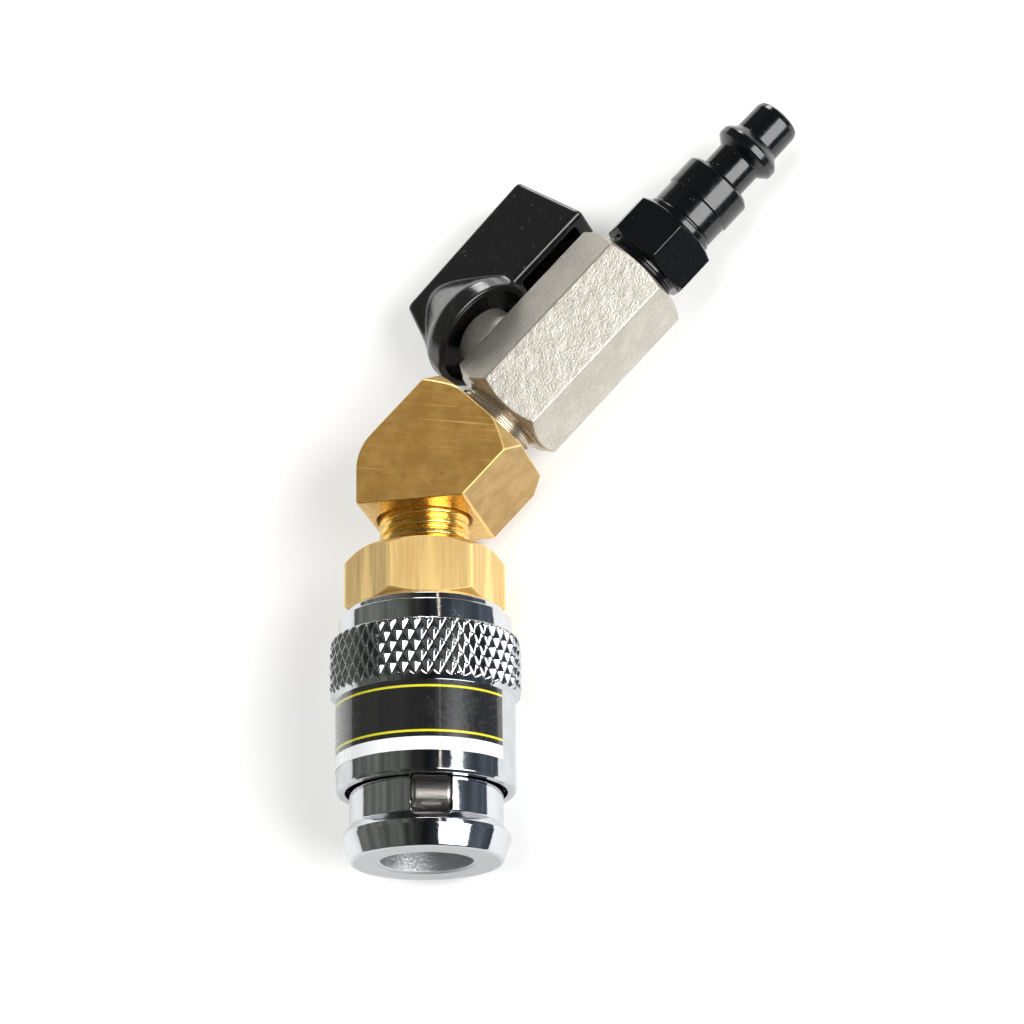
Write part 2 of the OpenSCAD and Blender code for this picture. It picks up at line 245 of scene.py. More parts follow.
def chrome(name, place, tone=(190, 193, 196), rough=(0.03, 0.09), peel=0.0022, lines=0.0):
    m = Nodes(name, place, Metallic=1.0)
    cloud = m.noise(0.35, 4)
    fine = m.noise(9.0, 3, 0.6)
    dust = m.ramp(m.noise(3.1, 6, 0.75), 0.60, 0.74)
    m.set("Base Color", m.mix(m.ramp(cloud, 0.3, 0.7), rgb(*tone), rgb(*[c - 10 for c in tone])))
    m.set(
        "Roughness",
        m.math(
            "ADD",
            m.ramp(m.math("ADD", cloud, m.math("MULTIPLY", fine, 0.4)), 0.5, 0.9, *rough),
            m.math("MULTIPLY", dust, 0.10),
        ),
    )
    m.bump(m.noise(0.9, 2, 0.5), peel * 3)
    m.bump(m.noise(5.5, 3, 0.6), peel)
    if lines:
        m.bump(m.noise(1.0, 3, 0.6, m.stretch(0.02, 0.02, 14)), lines)
    return m.mat


def mouth_chrome(name, place):
    """Chrome that is bright outside and grainy inside the mouth."""
    m = Nodes(name, place, Metallic=1.0)
    inside = m.math(
        "MULTIPLY",
        m.ramp(m.radius(), 11.45, 11.2),
        1.0,
    )
    _, _, z = m.xyz()
    face = m.ramp(z, 0.35, 0.02)
    cloud = m.noise(0.35, 4)
    fine = m.noise(9.0, 3, 0.6)
    m.set("Base Color", m.mix(face, m.mix(cloud, rgb(206, 208, 212), rgb(190, 193, 196)), rgb(172, 175, 177)))
    smooth = m.ramp(m.math("ADD", cloud, m.math("MULTIPLY", fine, 0.4)), 0.5, 0.9, 0.03, 0.09)
    m.set(
        "Roughness",
        m.math(
            "ADD",
            smooth,
            m.math("ADD", m.math("MULTIPLY", inside, 0.30), m.math("MULTIPLY", face, 0.10)),
        ),
    )
    m.bump(m.noise(0.9, 2, 0.5), 0.007)
    m.bump(m.noise(5.5, 3, 0.6), 0.0025)
    grain = m.math("MULTIPLY", m.noise(2.2, 4, 0.7), inside)
    m.bump(grain, 0.16)
    return m.mat


def label_film(name, place):
    m = Nodes(name, place, Metallic=0.0)
    m.set("Coat Weight", 0.8)
    m.set("Coat Roughness", 0.03)
    _, _, z = m.xyz()
    white = m.ramp(z, 16.28, 16.20)
    line = m.math(
        "ADD",
        m.math("MULTIPLY", m.ramp(z, 16.95, 17.0), m.ramp(z, 17.35, 17.30)),
        m.math("MULTIPLY", m.ramp(z, 23.95, 24.0), m.ramp(z, 24.35, 24.30)),
        clamp=True,
    )
    speck = m.ramp(m.noise(2.2, 5, 0.7), 0.62, 0.72)
    black = m.mix(speck, rgb(24, 24, 25), rgb(44, 43, 42))
    col = m.mix(line, black, rgb(196, 190, 30))
    col = m.mix(white, col, rgb(226, 228, 230))
    m.set("Base Color", col)
    m.set("Roughness", m.ramp(m.noise(1.3, 4), 0.3, 0.7, 0.18, 0.32))
    m.bump(m.noise(0.7, 2), 0.006)
    m.bump(m.noise(7.0, 2), 0.0008)
    return m.mat


def satin_steel(name, place, tone=(176, 172, 166), rough=0.30):
    m = Nodes(name, place, Metallic=1.0)
    n = m.noise(1.0, 4, 0.6, m.stretch(3.0, 3.0, 0.15))
    m.set("Base Color", m.mix(m.noise(1.5, 4), rgb(*tone), rgb(*[int(c * 0.88) for c in tone])))
    m.set("Roughness", m.ramp(n, 0.3, 0.7, rough - 0.05, rough + 0.08))
    m.bump(m.noise(1.0, 3, 0.6, m.stretch(9.0, 9.0, 9.0)), 0.003)
    m.bump(n, 0.003)
    return m.mat


def brass_hex(name, place):
    """Drawn hex bar: fine lines along Z, brighter worn edges, turned ends."""
    m = Nodes(name, place, Metallic=0.72)
    wear = m.attribute("wear")
    thread = m.attribute("thread")
    lines = m.noise(1.0, 4, 0.65, m.stretch(7.0, 7.0, 0.12))
    wide = m.noise(1.0, 3, 0.5, m.stretch(1.6, 1.6, 0.10))
    spots = m.ramp(m.noise(2.4, 6, 0.75), 0.63, 0.74)
    base = m.mix(m.ramp(wide, 0.3, 0.7), rgb(222, 190, 128), rgb(206, 172, 108))
    base = m.mix(m.math("MULTIPLY", m.ramp(lines, 0.45, 0.62), 0.35), base, rgb(176, 138, 76))
    base = m.mix(m.math("MULTIPLY", spots, 0.30), base, rgb(120, 92, 52))
    base = m.mix(m.math("MULTIPLY", m.ramp(wear, 0.35, 0.95), 0.8), base, rgb(250, 216, 140))
    base = m.mix(thread, base, rgb(242, 202, 112))
    m.set("Base Color", base)
    rough = m.ramp(lines, 0.3, 0.7, 0.44, 0.56)
    rough = m.math("SUBTRACT", rough, m.math("MULTIPLY", wear, 0.14))
    rough = m.math("SUBTRACT", rough, m.math("MULTIPLY", thread, 0.27))
    m.set("Roughness", rough)
    m.set("Metallic", m.math("ADD", 0.70, m.math("MULTIPLY", thread, 0.30)))
    flat = m.math("SUBTRACT", 1.0, thread)
    m.bump(m.math("MULTIPLY", lines, flat), 0.009)
    m.bump(m.math("MULTIPLY", m.noise(4.0, 4, 0.7), flat), 0.010)
    return m.mat


def brass_elbow(name, place):
    m = Nodes(name, place, Metallic=0.6)
    x, y, z = m.xyz()
    wear = m.attribute("wear")
    face = m.ramp(m.math("ABSOLUTE", y), 10.7, 10.9)
    under = m.ramp(z, -4.05, -4.22)
    side = m.math("SUBTRACT", 1.0, m.math("MAXIMUM", face, under))
    # fine scratches on the big faces, nearly level with the lower face
    tilt = m.stretch(1, 1, 1, rot=(0, math.radians(-10.5), 0))
    scratch = m.noise(1.0, 5, 0.7, m.stretch(0.10, 1.0, 5.0, tilt))
    cross = m.noise(1.0, 4, 0.7, m.stretch(0.12, 1.0, 3.0, m.stretch(1, 1, 1, rot=(0, math.radians(-38), 0))))
    long = m.ramp(m.noise(1.0, 2, 0.5, m.stretch(0.035, 1.0, 1.6, m.stretch(1, 1, 1, rot=(0, math.radians(-10), 0)))), 0.64, 0.70)
    patch = m.noise(0.28, 5, 0.6)
    pits = m.ramp(m.noise(2.0, 6, 0.8), 0.57, 0.70)
    stain = m.ramp(m.noise(0.75, 6, 0.72), 0.56, 0.72)
    big = m.mix(m.ramp(patch, 0.35, 0.65), rgb(186, 145, 78), rgb(165, 126, 63))
    big = m.mix(m.math("MULTIPLY", m.ramp(scratch, 0.42, 0.66), 0.45), big, rgb(146, 108, 54))
    big = m.mix(m.math("MULTIPLY", long, 0.7), big, rgb(232, 186, 112))
    big = m.mix(m.math("MULTIPLY", stain, 0.35), big, rgb(92, 70, 38))
    small = m.mix(m.ramp(patch, 0.35, 0.65), rgb(180, 149, 94), rgb(162, 132, 78))
    small = m.mix(m.math("MULTIPLY", pits, 0.75), small, rgb(118, 86, 44))
    col = m.mix(side, big, small)
    col = m.mix(under, col, rgb(236, 198, 118))
    col = m.mix(m.math("MULTIPLY", m.ramp(wear, 0.45, 0.95), 0.75), col, rgb(255, 222, 140))
    m.set("Base Color", col)
    m.set("Metallic", m.math("ADD", 0.62, m.math("MULTIPLY", under, 0.38)))
    rough = m.ramp(scratch, 0.3, 0.7, 0.36, 0.50)
    rough = m.math("ADD", rough, m.math("MULTIPLY", side, 0.10))
    rough = m.math("SUBTRACT", rough, m.math("MULTIPLY", under, 0.16))
    rough = m.math("SUBTRACT", rough, m.math("MULTIPLY", wear, 0.12))
    m.set("Roughness", rough)
    m.bump(m.math("MULTIPLY", scratch, face), 0.018)
    m.bump(m.math("MULTIPLY", cross, face), 0.009)
    m.bump(m.math("MULTIPLY", long, face), 0.012)
    m.bump(m.math("MULTIPLY", pits, side), 0.03)
    rings = m.math("SINE", m.math("MULTIPLY", m.radius(), 26.0))
    m.bump(m.math("MULTIPLY", rings, under), 0.006)
    m.bump(m.noise(1.1, 4, 0.6), 0.012)
    return m.mat


def nickel(name, place):
    """Plated sand casting with turned, smooth ends and chipped edges."""
    m = Nodes(name, place, Metallic=0.88)
    x, y, z = m.xyz()
    wear = m.attribute("wear")
    turned = m.attribute("thread")
    cast = m.math("SUBTRACT", 1.0, turned)
    grain = m.noise(3.4, 2, 0.55)
    coarse = m.noise(1.1, 2, 0.5)
    cloud = m.noise(0.3, 3)
    chips = m.ramp(m.math("ADD", m.math("MULTIPLY", wear, 0.42), m.noise(3.4, 5, 0.7)), 0.93, 0.99)
    col = m.mix(m.ramp(cloud, 0.3, 0.7), rgb(200, 196, 186), rgb(188, 184, 174))
    col = m.mix(m.math("MULTIPLY", m.ramp(grain, 0.54, 0.40), 0.30), col, rgb(150, 144, 132))
    col = m.mix(m.math("MULTIPLY", turned, 0.45), col, rgb(206, 188, 166))
    col = m.mix(m.math("MULTIPLY", chips, 0.8), col, rgb(176, 124, 74))
    m.set("Base Color", col)
    m.set("Roughness", m.math("ADD", 0.21, m.math("MULTIPLY", cast, m.ramp(coarse, 0.3, 0.7, 0.22, 0.28))))
    m.bump(m.math("MULTIPLY", coarse, cast), 0.004)
    m.bump(m.math("MULTIPLY", grain, cast), 0.065)
    return m.mat


def black_lever(name, place):
    m = Nodes(name, place, Metallic=0.0)
    m.set("Specular IOR Level", 0.62)
    m.set("IOR", 1.52)
    dust = m.ramp(m.voronoi(0.75), 0.10, 0.04)
    keep = m.ramp(m.noise(0.9, 2), 0.50, 0.60)
    dust = m.math("MULTIPLY", dust, keep)
    smear = m.math("MULTIPLY", m.ramp(m.noise(0.55, 6, 0.7), 0.58, 0.78), 0.30)
    wear = m.attribute("wear")
    col = m.mix(m.math("MAXIMUM", m.math("MULTIPLY", dust, 0.65), smear), rgb(19, 19, 20), rgb(120, 118, 114))
    col = m.mix(m.math("MULTIPLY", m.ramp(wear, 0.6, 1.0), 0.25), col, rgb(110, 110, 112))
    m.set("Base Color", col)
    m.set(
        "Roughness",
        m.math("ADD", m.ramp(m.noise(1.1, 5, 0.6), 0.3, 0.7, 0.16, 0.27), m.math("MULTIPLY", dust, 0.4)),
    )
    m.bump(m.noise(0.5, 2), 0.03)
    m.bump(m.noise(2.6, 4, 0.6), 0.006)
    m.bump(dust, 0.02)
    return m.mat


def black_plate(name, place):
    """Gloss black plated steel with turning lines."""
    m = Nodes(name, place, Metallic=0.0)
    m.set("Specular IOR Level", 0.5)
    m.set("IOR", 1.48)
    m.set("Coat Weight", 0.15)
    m.set("Coat Roughness", 0.05)
    dust = m.ramp(m.voronoi(1.1), 0.09, 0.04)
    keep = m.ramp(m.noise(1.1, 2), 0.54, 0.62)
    dust = m.math("MULTIPLY", dust, keep)
    rust = m.math("MULTIPLY", m.ramp(m.noise(1.6, 6, 0.75), 0.62, 0.74), 0.35)
    wear = m.attribute("wear")
    col = m.mix(m.math("MULTIPLY", dust, 0.6), rgb(9, 10, 12), rgb(160, 158, 152))
    col = m.mix(rust, col, rgb(66, 52, 40))
    col = m.mix(m.math("MULTIPLY", m.ramp(wear, 0.6, 1.0), 0.4), col, rgb(150, 152, 156))
    m.set("Base Color", col)
    m.set("Roughness", m.math("ADD", m.ramp(m.noise(1.4, 4), 0.3, 0.7, 0.13, 0.22), m.math("MULTIPLY", dust, 0.4)))
    m.bump(m.noise(1.0, 3, 0.6, m.stretch(0.05, 0.05, 6.0)), 0.006)
    m.bump(m.noise(1.4, 3), 0.006)
    return m.mat


def rubber(name, place):
    m = Nodes(name, place, Metallic=0.0)
    m.set("Base Color", m.mix(m.noise(1.2, 4), rgb(30, 30, 31), rgb(18, 18, 19)))
    m.set("Roughness", m.ramp(m.noise(2.0, 3), 0.3, 0.7, 0.45, 0.62))
    m.bump(m.noise(4.0, 3), 0.01)
    return m.mat


def wire(name, place):
    m = Nodes(name, place, Metallic=1.0)
    m.set("Base Color", m.mix(m.noise(1.0, 4), rgb(178, 178, 174), rgb(150, 149, 146)))
    m.set("Roughness", m.ramp(m.noise(3.0, 3), 0.3, 0.7, 0.22, 0.36))
    m.bump(m.noise(6.0, 3), 0.004)
    return m.mat


def turned_brass(name, place):
    m = Nodes(name, place, Metallic=1.0)
    m.set("Base Color", m.mix(m.noise(0.8, 4), rgb(224, 190, 118), rgb(200, 160, 90)))
    m.set("Roughness", m.ramp(m.noise(2.0, 3), 0.3, 0.7, 0.22, 0.34))
    m.bump(m.noise(1.0, 3, 0.6, m.stretch(0.05, 0.05, 8.0)), 0.006)
    return m.mat


def polished(name, place):
    m = Nodes(name, place, Metallic=1.0)
    m.set("Base Color", m.mix(m.noise(0.8, 4), rgb(214, 216, 219), rgb(200, 202, 206)))
    m.set("Roughness", m.ramp(m.noise(2.0, 3), 0.3, 0.7, 0.05, 0.10))
    m.bump(m.noise(2.0, 2), 0.001)
    return m.mat


def waxy(name, place):
    m = Nodes(name, place, Metallic=0.0)
    m.set("Base Color", m.mix(m.noise(0.8, 4), rgb(238, 238, 233), rgb(222, 221, 214)))
    m.set("Roughness", m.ramp(m.noise(2.0, 3), 0.3, 0.7, 0.38, 0.5))
    m.set("Subsurface Weight", 0.15)
    m.bump(m.noise(1.0, 3, 0.6, m.stretch(0.05, 0.05, 6.0)), 0.006)
    return m.mat


# --------------------------------------------------------------- mesh helpers


def rounded(points, radii, seg=4):
    """Corner points (T, n, 2) of closed outlines, each corner cut by an arc.
    Returns (T, m, 2) and the place of each corner's last point."""
    P = np.asarray(points, float)
    if P.ndim == 2:
        P = P[None]
    n = P.shape[1]
    radii = [radii] * n if np.isscalar(radii) else list(radii)
    A, C = np.roll(P, 1, 1), np.roll(P, -1, 1)
    d1, d2 = A - P, C - P
    l1 = np.linalg.norm(d1, axis=2, keepdims=True)
    l2 = np.linalg.norm(d2, axis=2, keepdims=True)
    d1, d2 = d1 / l1, d2 / l2
    out, last, count = [], [], 0
    for k in range(n):
        f = radii[k]
        if f <= 0:
            out.append(P[:, k : k + 1])
            count += 1
            last.append(count - 1)
            continue
        a, b, q = d1[:, k], d2[:, k], P[:, k]
        half = np.arccos(np.clip((a * b).sum(1), -0.9999999, 1.0)) / 2
        t = np.minimum(f / np.tan(half), 0.47 * np.minimum(l1[:, k, 0], l2[:, k, 0]))
        fe = t * np.tan(half)
        bis = a + b
        bis = bis / np.maximum(np.linalg.norm(bis, axis=1, keepdims=True), 1e-9)
        c = q + bis * (fe / np.sin(half))[:, None]
        n1 = (q + a * t[:, None] - c) / fe[:, None]
        n2 = (q + b * t[:, None] - c) / fe[:, None]
        ang = np.arccos(np.clip((n1 * n2).sum(1), -1, 1))
        for s in np.linspace(0, 1, seg + 1):
            w = (
                np.sin((1 - s) * ang)[:, None] * n1 + np.sin(s * ang)[:, None] * n2
            ) / np.maximum(np.sin(ang), 1e-9)[:, None]
            out.append((c + fe[:, None] * w)[:, None])
        count += seg + 1
        last.append(count - 1)
    return np.concatenate(out, 1), last


def insert(outline, rows, at):
    """Puts rows (T, m, 2) into outline (T, n, 2) after point number at."""
    T = max(outline.shape[0], rows.shape[0])
    o = np.broadcast_to(outline, (T,) + outline.shape[1:])
    r = np.broadcast_to(rows, (T,) + rows.shape[1:])
    return np.concatenate([o[:, : at + 1], r, o[:, at + 1 :]], 1)


def revolve(outline, theta, closed=True, arc=False):
    """Vertices and quads of an outline (T or 1, n, 2) turned through theta."""
    T, n = len(theta), outline.shape[1]
    o = np.broadcast_to(outline, (T, n, 2))
    v = np.stack(
        [o[:, :, 0] * np.cos(theta)[:, None], o[:, :, 0] * np.sin(theta)[:, None], o[:, :, 1]], 2
    ).reshape(-1, 3)
    idx = np.arange(T * n).reshape(T, n)
    pole = np.abs(o[0, :, 0]) < 1e-9
    idx[:, pole] = idx[0:1, pole]
    t2 = idx[1:] if arc else np.roll(idx, -1, 0)
    t1 = idx[:-1] if arc else idx
    p1 = t1 if closed else t1[:, :-1]
    p2 = np.roll(t1, -1, 1) if closed else t1[:, 1:]
    q1 = t2 if closed else t2[:, :-1]
    q2 = np.roll(t2, -1, 1) if closed else t2[:, 1:]
    f = np.stack([p1, q1, q2, p2], 2).reshape(-1, 4)
    faces = [list(map(int, x)) for x in f[0:0]]
    same = (f[:, 0] == f[:, 1]) | (f[:, 2] == f[:, 3])
    quads = f[~same]
    tris = []
    for x in f[same]:
        u = list(dict.fromkeys(int(i) for i in x))
        if len(u) == 3:
            tris.append(u)
    if arc and closed:
        faces.append([int(i) for i in idx[0][::-1]][::-1])
        faces.append([int(i) for i in idx[-1]][::-1])
    return v, quads, tris + faces


def clean(v, quads, others):
    """Drops vertices that no face uses."""
    used = np.zeros(len(v), bool)
    if len(quads):
        used[np.asarray(quads).ravel()] = True
    for f in others:
        used[f] = True
    new = np.cumsum(used) - 1
    quads = new[np.asarray(quads, int)] if len(quads) else np.zeros((0, 4), int)
    return v[used], quads, [[int(new[i]) for i in f] for f in others], used


def area_normals(v, quads, others):
    n = np.zeros_like(v)

    def add(q):
        w = np.cross(v[q[:, 2]] - v[q[:, 0]], v[q[:, 3]] - v[q[:, 1]])
        for k in range(4):
            np.add.at(n, q[:, k], w)

    if len(quads):
        add(np.asarray(quads))
    tri = np.array([f for f in others if len(f) == 3], int)
    if len(tri):
        w = np.cross(v[tri[:, 1]] - v[tri[:, 0]], v[tri[:, 2]] - v[tri[:, 0]])
        for k in range(3):
            np.add.at(n, tri[:, k], w)
    return n / np.maximum(np.linalg.norm(n, axis=1, keepdims=True), 1e-12)


def build(name, place, v, quads, others, mat, body, nodes, attrs=None, normals=None, weld=True):
    """A new piece in the row frame, riding on a body and standing for CAD nodes."""
    attrs = dict(attrs or {})
    v, quads, others, used = clean(np.asarray(v, float), quads, others)
    attrs = {k: np.asarray(a)[used] for k, a in attrs.items()}
    if normals is None:
        normals = area_normals(v, quads, others)
    else:
        normals = np.asarray(normals)[used]
    mesh = bpy.data.meshes.new(name)
    faces = (quads.tolist() if len(quads) else []) + [list(f) for f in others]
    mesh.from_pydata(row(place, v).tolist(), [], faces, shade_flat=False)
    mesh.update()
    for k, a in attrs.items():
        at = mesh.attributes.new(k, "FLOAT", "POINT")
        at.data.foreach_set("value", np.asarray(a, np.float32))
    if "wear" not in attrs:
        at = mesh.attributes.new("wear", "FLOAT", "POINT")
    if "thread" not in attrs:
        at = mesh.attributes.new("thread", "FLOAT", "POINT")
    mesh.normals_split_custom_set_from_vertices(
        (normals @ place[:3, :3].T).tolist()
    )
    obj = bpy.data.objects.new(name, mesh)
    scene.collection.objects.link(obj)
    mesh.materials.append(mat)
    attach(obj, body)
    if nodes:
        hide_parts(*nodes)
    return obj


def circle(n, start=0.0):
    return np.linspace(0, 2 * math.pi, n, endpoint=False) + start


def hex_angles(offset, flat=12, corner=0.55):
    """Angles dense at the hexagon's corners. Corners lie at offset + 60 k degrees."""
    out = []
    for k in range(6):
        c = offset + 60 * k
        out += list(c + np.array([-1, -0.5, 0, 0.5, 1]) * corner)
        out += list(np.linspace(c + corner, c + 60 - corner, flat + 1)[1:-1])
    return np.radians(np.array(out))


def hex_radius(theta, a, rho, offset):
    """Polar radius of a hexagon of apothem a with corners rounded by rho."""
    d = (np.degrees(theta) - offset + 30) % 60 - 30
    d = np.radians(d)
    c = (a - rho) / math.cos(math.radians(30))
    dt = math.atan2(rho * 0.5, c + rho * math.cos(math.radians(30)))
    flat = a / np.cos(math.radians(30) - np.abs(d))
    inside = np.clip(rho**2 - (c * np.sin(d)) ** 2, 0, None)
    arc = c * np.cos(d) + np.sqrt(inside)
    return np.where(np.abs(d) < dt, arc, flat), np.abs(d)


# ------------------------------------------------------------- chuck's pieces

N_ROUND = 320
M_CHROME = chrome("chrome", CHUCK)
M_MOUTH = mouth_chrome("chrome_mouth", CHUCK)
M_KNURL = chrome("chrome_knurl", CHUCK, rough=(0.08, 0.16), peel=0.003)

WINDOW_A = -72.2
FLANGE = [(7.5, 0), (11.7, 0), (12.05, 0.3), (12.95, 3.3), (12.95, 3.95), (11.9, 5.4), (11.85, 5.5)]
body_pts = [
    (7.5, 0, 0.12), (11.75, 0, 0.45), (12.95, 3.3, 0.12), (12.95, 3.95, 0.15),
    (11.85, 5.48, 0.5), (11.85, 13.0, 0.05), (11.4, 13.0, 0.1), (11.4, 14.12, 0.1),
    (11.85, 14.12, 0.05), (11.85, 34.3, 0.15), (13.6, 34.3, 0.12), (13.6, 38.3, 0.3),
    (12.45, 38.3, 0.1), (12.45, 39.5, 0.2), (9.0, 39.5, 0.1), (9.0, 31.0, 0.1),
    (8.0, 31.0, 0.1), (8.0, 22.0, 0.1), (4.6, 22.0, 0.1), (4.6, 19.0, 0.1),
    (6.6, 19.0, 0.1), (6.6, 16.8, 0.1), (9.0, 16.8, 0.1), (9.0, 14.2, 0.1),
    (7.4, 14.2, 0.1), (7.4, 4.4, 0.05), (7.15, 4.4, 0.05), (7.15, 0.36, 0.12),
]
outline, _ = rounded([(r, z) for r, z, _ in body_pts], [f for _, _, f in body_pts], 4)
theta = circle(N_ROUND)
v, quads, others = revolve(outline, theta)
lathe_normals = area_normals(v, quads, others)


def plain_mesh(name, v, quads, others):
    mesh = bpy.data.meshes.new(name)
    mesh.from_pydata(np.asarray(v).tolist(), [], [list(map(int, f)) for f in quads] + [list(f) for f in others], shade_flat=False)
    mesh.update()
    return mesh


def window_cutter(angle):
    """Rounded window, bevelled where it meets the neck."""
    w, z0, z1, c = 3.1, 4.47, 12.95, 1.7

    def outline_at(grow):
        pts = []
        for sy, cy in ((1, w - c), (-1, -w + c)):
            pass
        hw, c2 = w + grow, c + grow
        lo, hi = z0 - grow, z1 + grow
        for a in np.linspace(-90, 0, 13):
            pts.append((hw - c2 + c2 * math.cos(math.radians(a)), lo + c2 + c2 * math.sin(math.radians(a))))
        for z in np.linspace(lo + c2 + 0.3, hi - 0.4, 8):
            pts.append((hw, z))
        for a in np.linspace(0, 90, 5):
            pts.append((hw - 0.3 + 0.3 * math.cos(math.radians(a)), hi - 0.3 + 0.3 * math.sin(math.radians(a))))
        for y in np.linspace(hw - 0.5, -hw + 0.5, 12):
            pts.append((y, hi))
        for a in np.linspace(90, 180, 5):
            pts.append((-hw + 0.3 + 0.3 * math.cos(math.radians(a)), hi - 0.3 + 0.3 * math.sin(math.radians(a))))
        for z in np.linspace(hi - 0.4, lo + c2 + 0.3, 8):
            pts.append((-hw, z))
        for a in np.linspace(180, 270, 13):
            pts.append((-hw + c2 + c2 * math.cos(math.radians(a)), lo + c2 + c2 * math.sin(math.radians(a))))
        for y in np.linspace(-hw + c2 + 0.2, hw - c2 - 0.2, 6):
            pts.append((y, lo))
        return np.array(pts)

    def skin(y, z):
        r = np.where(z < 3.95, 12.95, np.where(z < 5.48, 12.95 - (z - 3.95) / 1.53 * 1.1, 11.85))
        return np.sqrt(np.maximum(r**2 - y**2, 1.0))

    rings = []
    for grow, depth in ((0.0, None), (0.0, 0.16), (0.16, 0.0), (0.40, -0.24), (0.75, -3.0)):
        o = outline_at(grow)
        x = np.full(len(o), 5.0) if depth is None else skin(o[:, 0], o[:, 1]) - depth
        rings.append(np.stack([x, o[:, 0], o[:, 1]], 1))
    n = len(rings[0])
    v = np.concatenate(rings)
    f = []
    for k in range(len(rings) - 1):
        for i in range(n):
            j = (i + 1) % n
            f.append([k * n + i, k * n + j, (k + 1) * n + j, (k + 1) * n + i])
    f.append([i for i in range(n)][::-1])
    f.append([(len(rings) - 1) * n + i for i in range(n)])
    a = math.radians(angle)
    rot = np.array([[math.cos(a), -math.sin(a), 0], [math.sin(a), math.cos(a), 0], [0, 0, 1]])
    return v @ rot.T, f


def cut_windows(v, quads, others, normals):
    """The chuck body with its three windows cut."""
    base = bpy.data.objects.new("_base", plain_mesh("_base", v, quads, others))
    scene.collection.objects.link(base)
    tools = []
    for k in range(3):
        cv, cf = window_cutter(WINDOW_A + 120 * k)
        t = bpy.data.objects.new("_cut%d" % k, plain_mesh("_cut%d" % k, cv, [], cf))
        scene.collection.objects.link(t)
        tools.append(t)
        mod = base.modifiers.new("cut%d" % k, "BOOLEAN")
        mod.operation, mod.solver, mod.object = "DIFFERENCE", "EXACT", t
    bpy.context.view_layer.update()
    deps = bpy.context.evaluated_depsgraph_get()
    got = bpy.data.meshes.new_from_object(base.evaluated_get(deps))
    for o in [base] + tools:
        bpy.data.objects.remove(o)
    got.validate()
    return got


mesh = cut_windows(v, quads, others, lathe_normals)
co = np.array([p.co for p in mesh.vertices], float)
keys = {}
for p, n in zip(np.round(v, 4), lathe_normals):
    keys[tuple(p)] = n
known = np.full((len(co), 3), np.nan)
for i, p in enumerate(np.round(co, 4)):
    n = keys.get(tuple(p))
    if n is not None:
        known[i] = n
loops = np.zeros((len(mesh.loops), 3))
for poly in mesh.polygons:
    n = np.array(poly.normal)
    c = np.array(poly.center)
    rc = math.hypot(c[0], c[1])
    radial = (n[0] * c[0] + n[1] * c[1]) / rc
    tang = (n[1] * c[0] - n[0] * c[1]) / rc
    lathe_face = abs(tang) < 0.02
    for li in poly.loop_indices:
        vi = mesh.loops[li].vertex_index
        if lathe_face and not np.isnan(known[vi, 0]) and known[vi] @ n > 0.8:
            loops[li] = known[vi]
        elif lathe_face:
            p = co[vi]
            r = math.hypot(p[0], p[1])
            loops[li] = (radial * p[0] / r, radial * p[1] / r, n[2])
        else:
            loops[li] = n
loops /= np.maximum(np.linalg.norm(loops, axis=1, keepdims=True), 1e-9)
mesh.transform(Matrix((CHUCK * np.array([[0.001], [0.001], [0.001], [1]])).tolist()))
mesh.name = "coupler_body"
for poly in mesh.polygons:
    poly.use_smooth = True
mesh.normals_split_custom_set((loops @ CHUCK[:3, :3].T).tolist())
for k in ("wear", "thread"):
    mesh.attributes.new(k, "FLOAT", "POINT")
mesh.materials.clear()
mesh.materials.append(M_MOUTH)
coupler = bpy.data.objects.new("coupler_body_v", mesh)
scene.collection.objects.link(coupler)
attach(coupler, "fitting")
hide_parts("coupler_body")

# release sleeve with its knurled ring
STARTS, STEP = 48, (16)
KP = 3.38
cols = STARTS * STEP
theta = circle(cols)
sleeve_pts = [
    (12.5, 10.85, 0.12), (13.6, 10.85, 0.18), (13.9, 11.3, 0.2), (13.9, 25.25, 0.12),
    (14.42, 25.85, 0.0), (14.62, 34.75, 0.0), (14.3, 35.0, 0.12), (13.7, 35.0, 0.1), (13.7, 30.1, 0.05),
    (13.05, 30.1, 0.05), (13.05, 16.6, 0.1), (11.92, 16.6, 0.1), (11.92, 14.1, 0.1),
    (13.0, 14.1, 0.1), (13.0, 12.15, 0.1), (12.5, 11.75, 0.1),
]
outline, last = rounded([(r, z) for r, z, _ in sleeve_pts], [f for _, _, f in sleeve_pts], 4)
dz = KP / STEP
zk = np.arange(26.0, 34.7, dz)
tt, zz = np.meshgrid(theta, zk, indexing="ij")
i = np.arange(cols)[:, None]
j = np.arange(len(zk))[None, :]
fa, fb = (i + j) / STEP, (i - j) / STEP
tri = lambda x: np.abs((x % 1.0) - 0.5) * 2
depth = np.clip(np.maximum(tri(fa), tri(fb)) - 0.10, 0, None) / 0.9
base = np.interp(zz, [25.9, 26.15, 26.8, 33.2, 34.2, 34.75], [14.45, 14.68, 14.92, 14.92, 14.84, 14.62])
rk = np.minimum(base, 14.92 - 0.62 * depth)
rk = np.minimum(rk, base)
knurl_rows = np.stack([rk, zz], 2)
outline = insert(outline, knurl_rows, last[4])
v, quads, others = revolve(outline, theta)
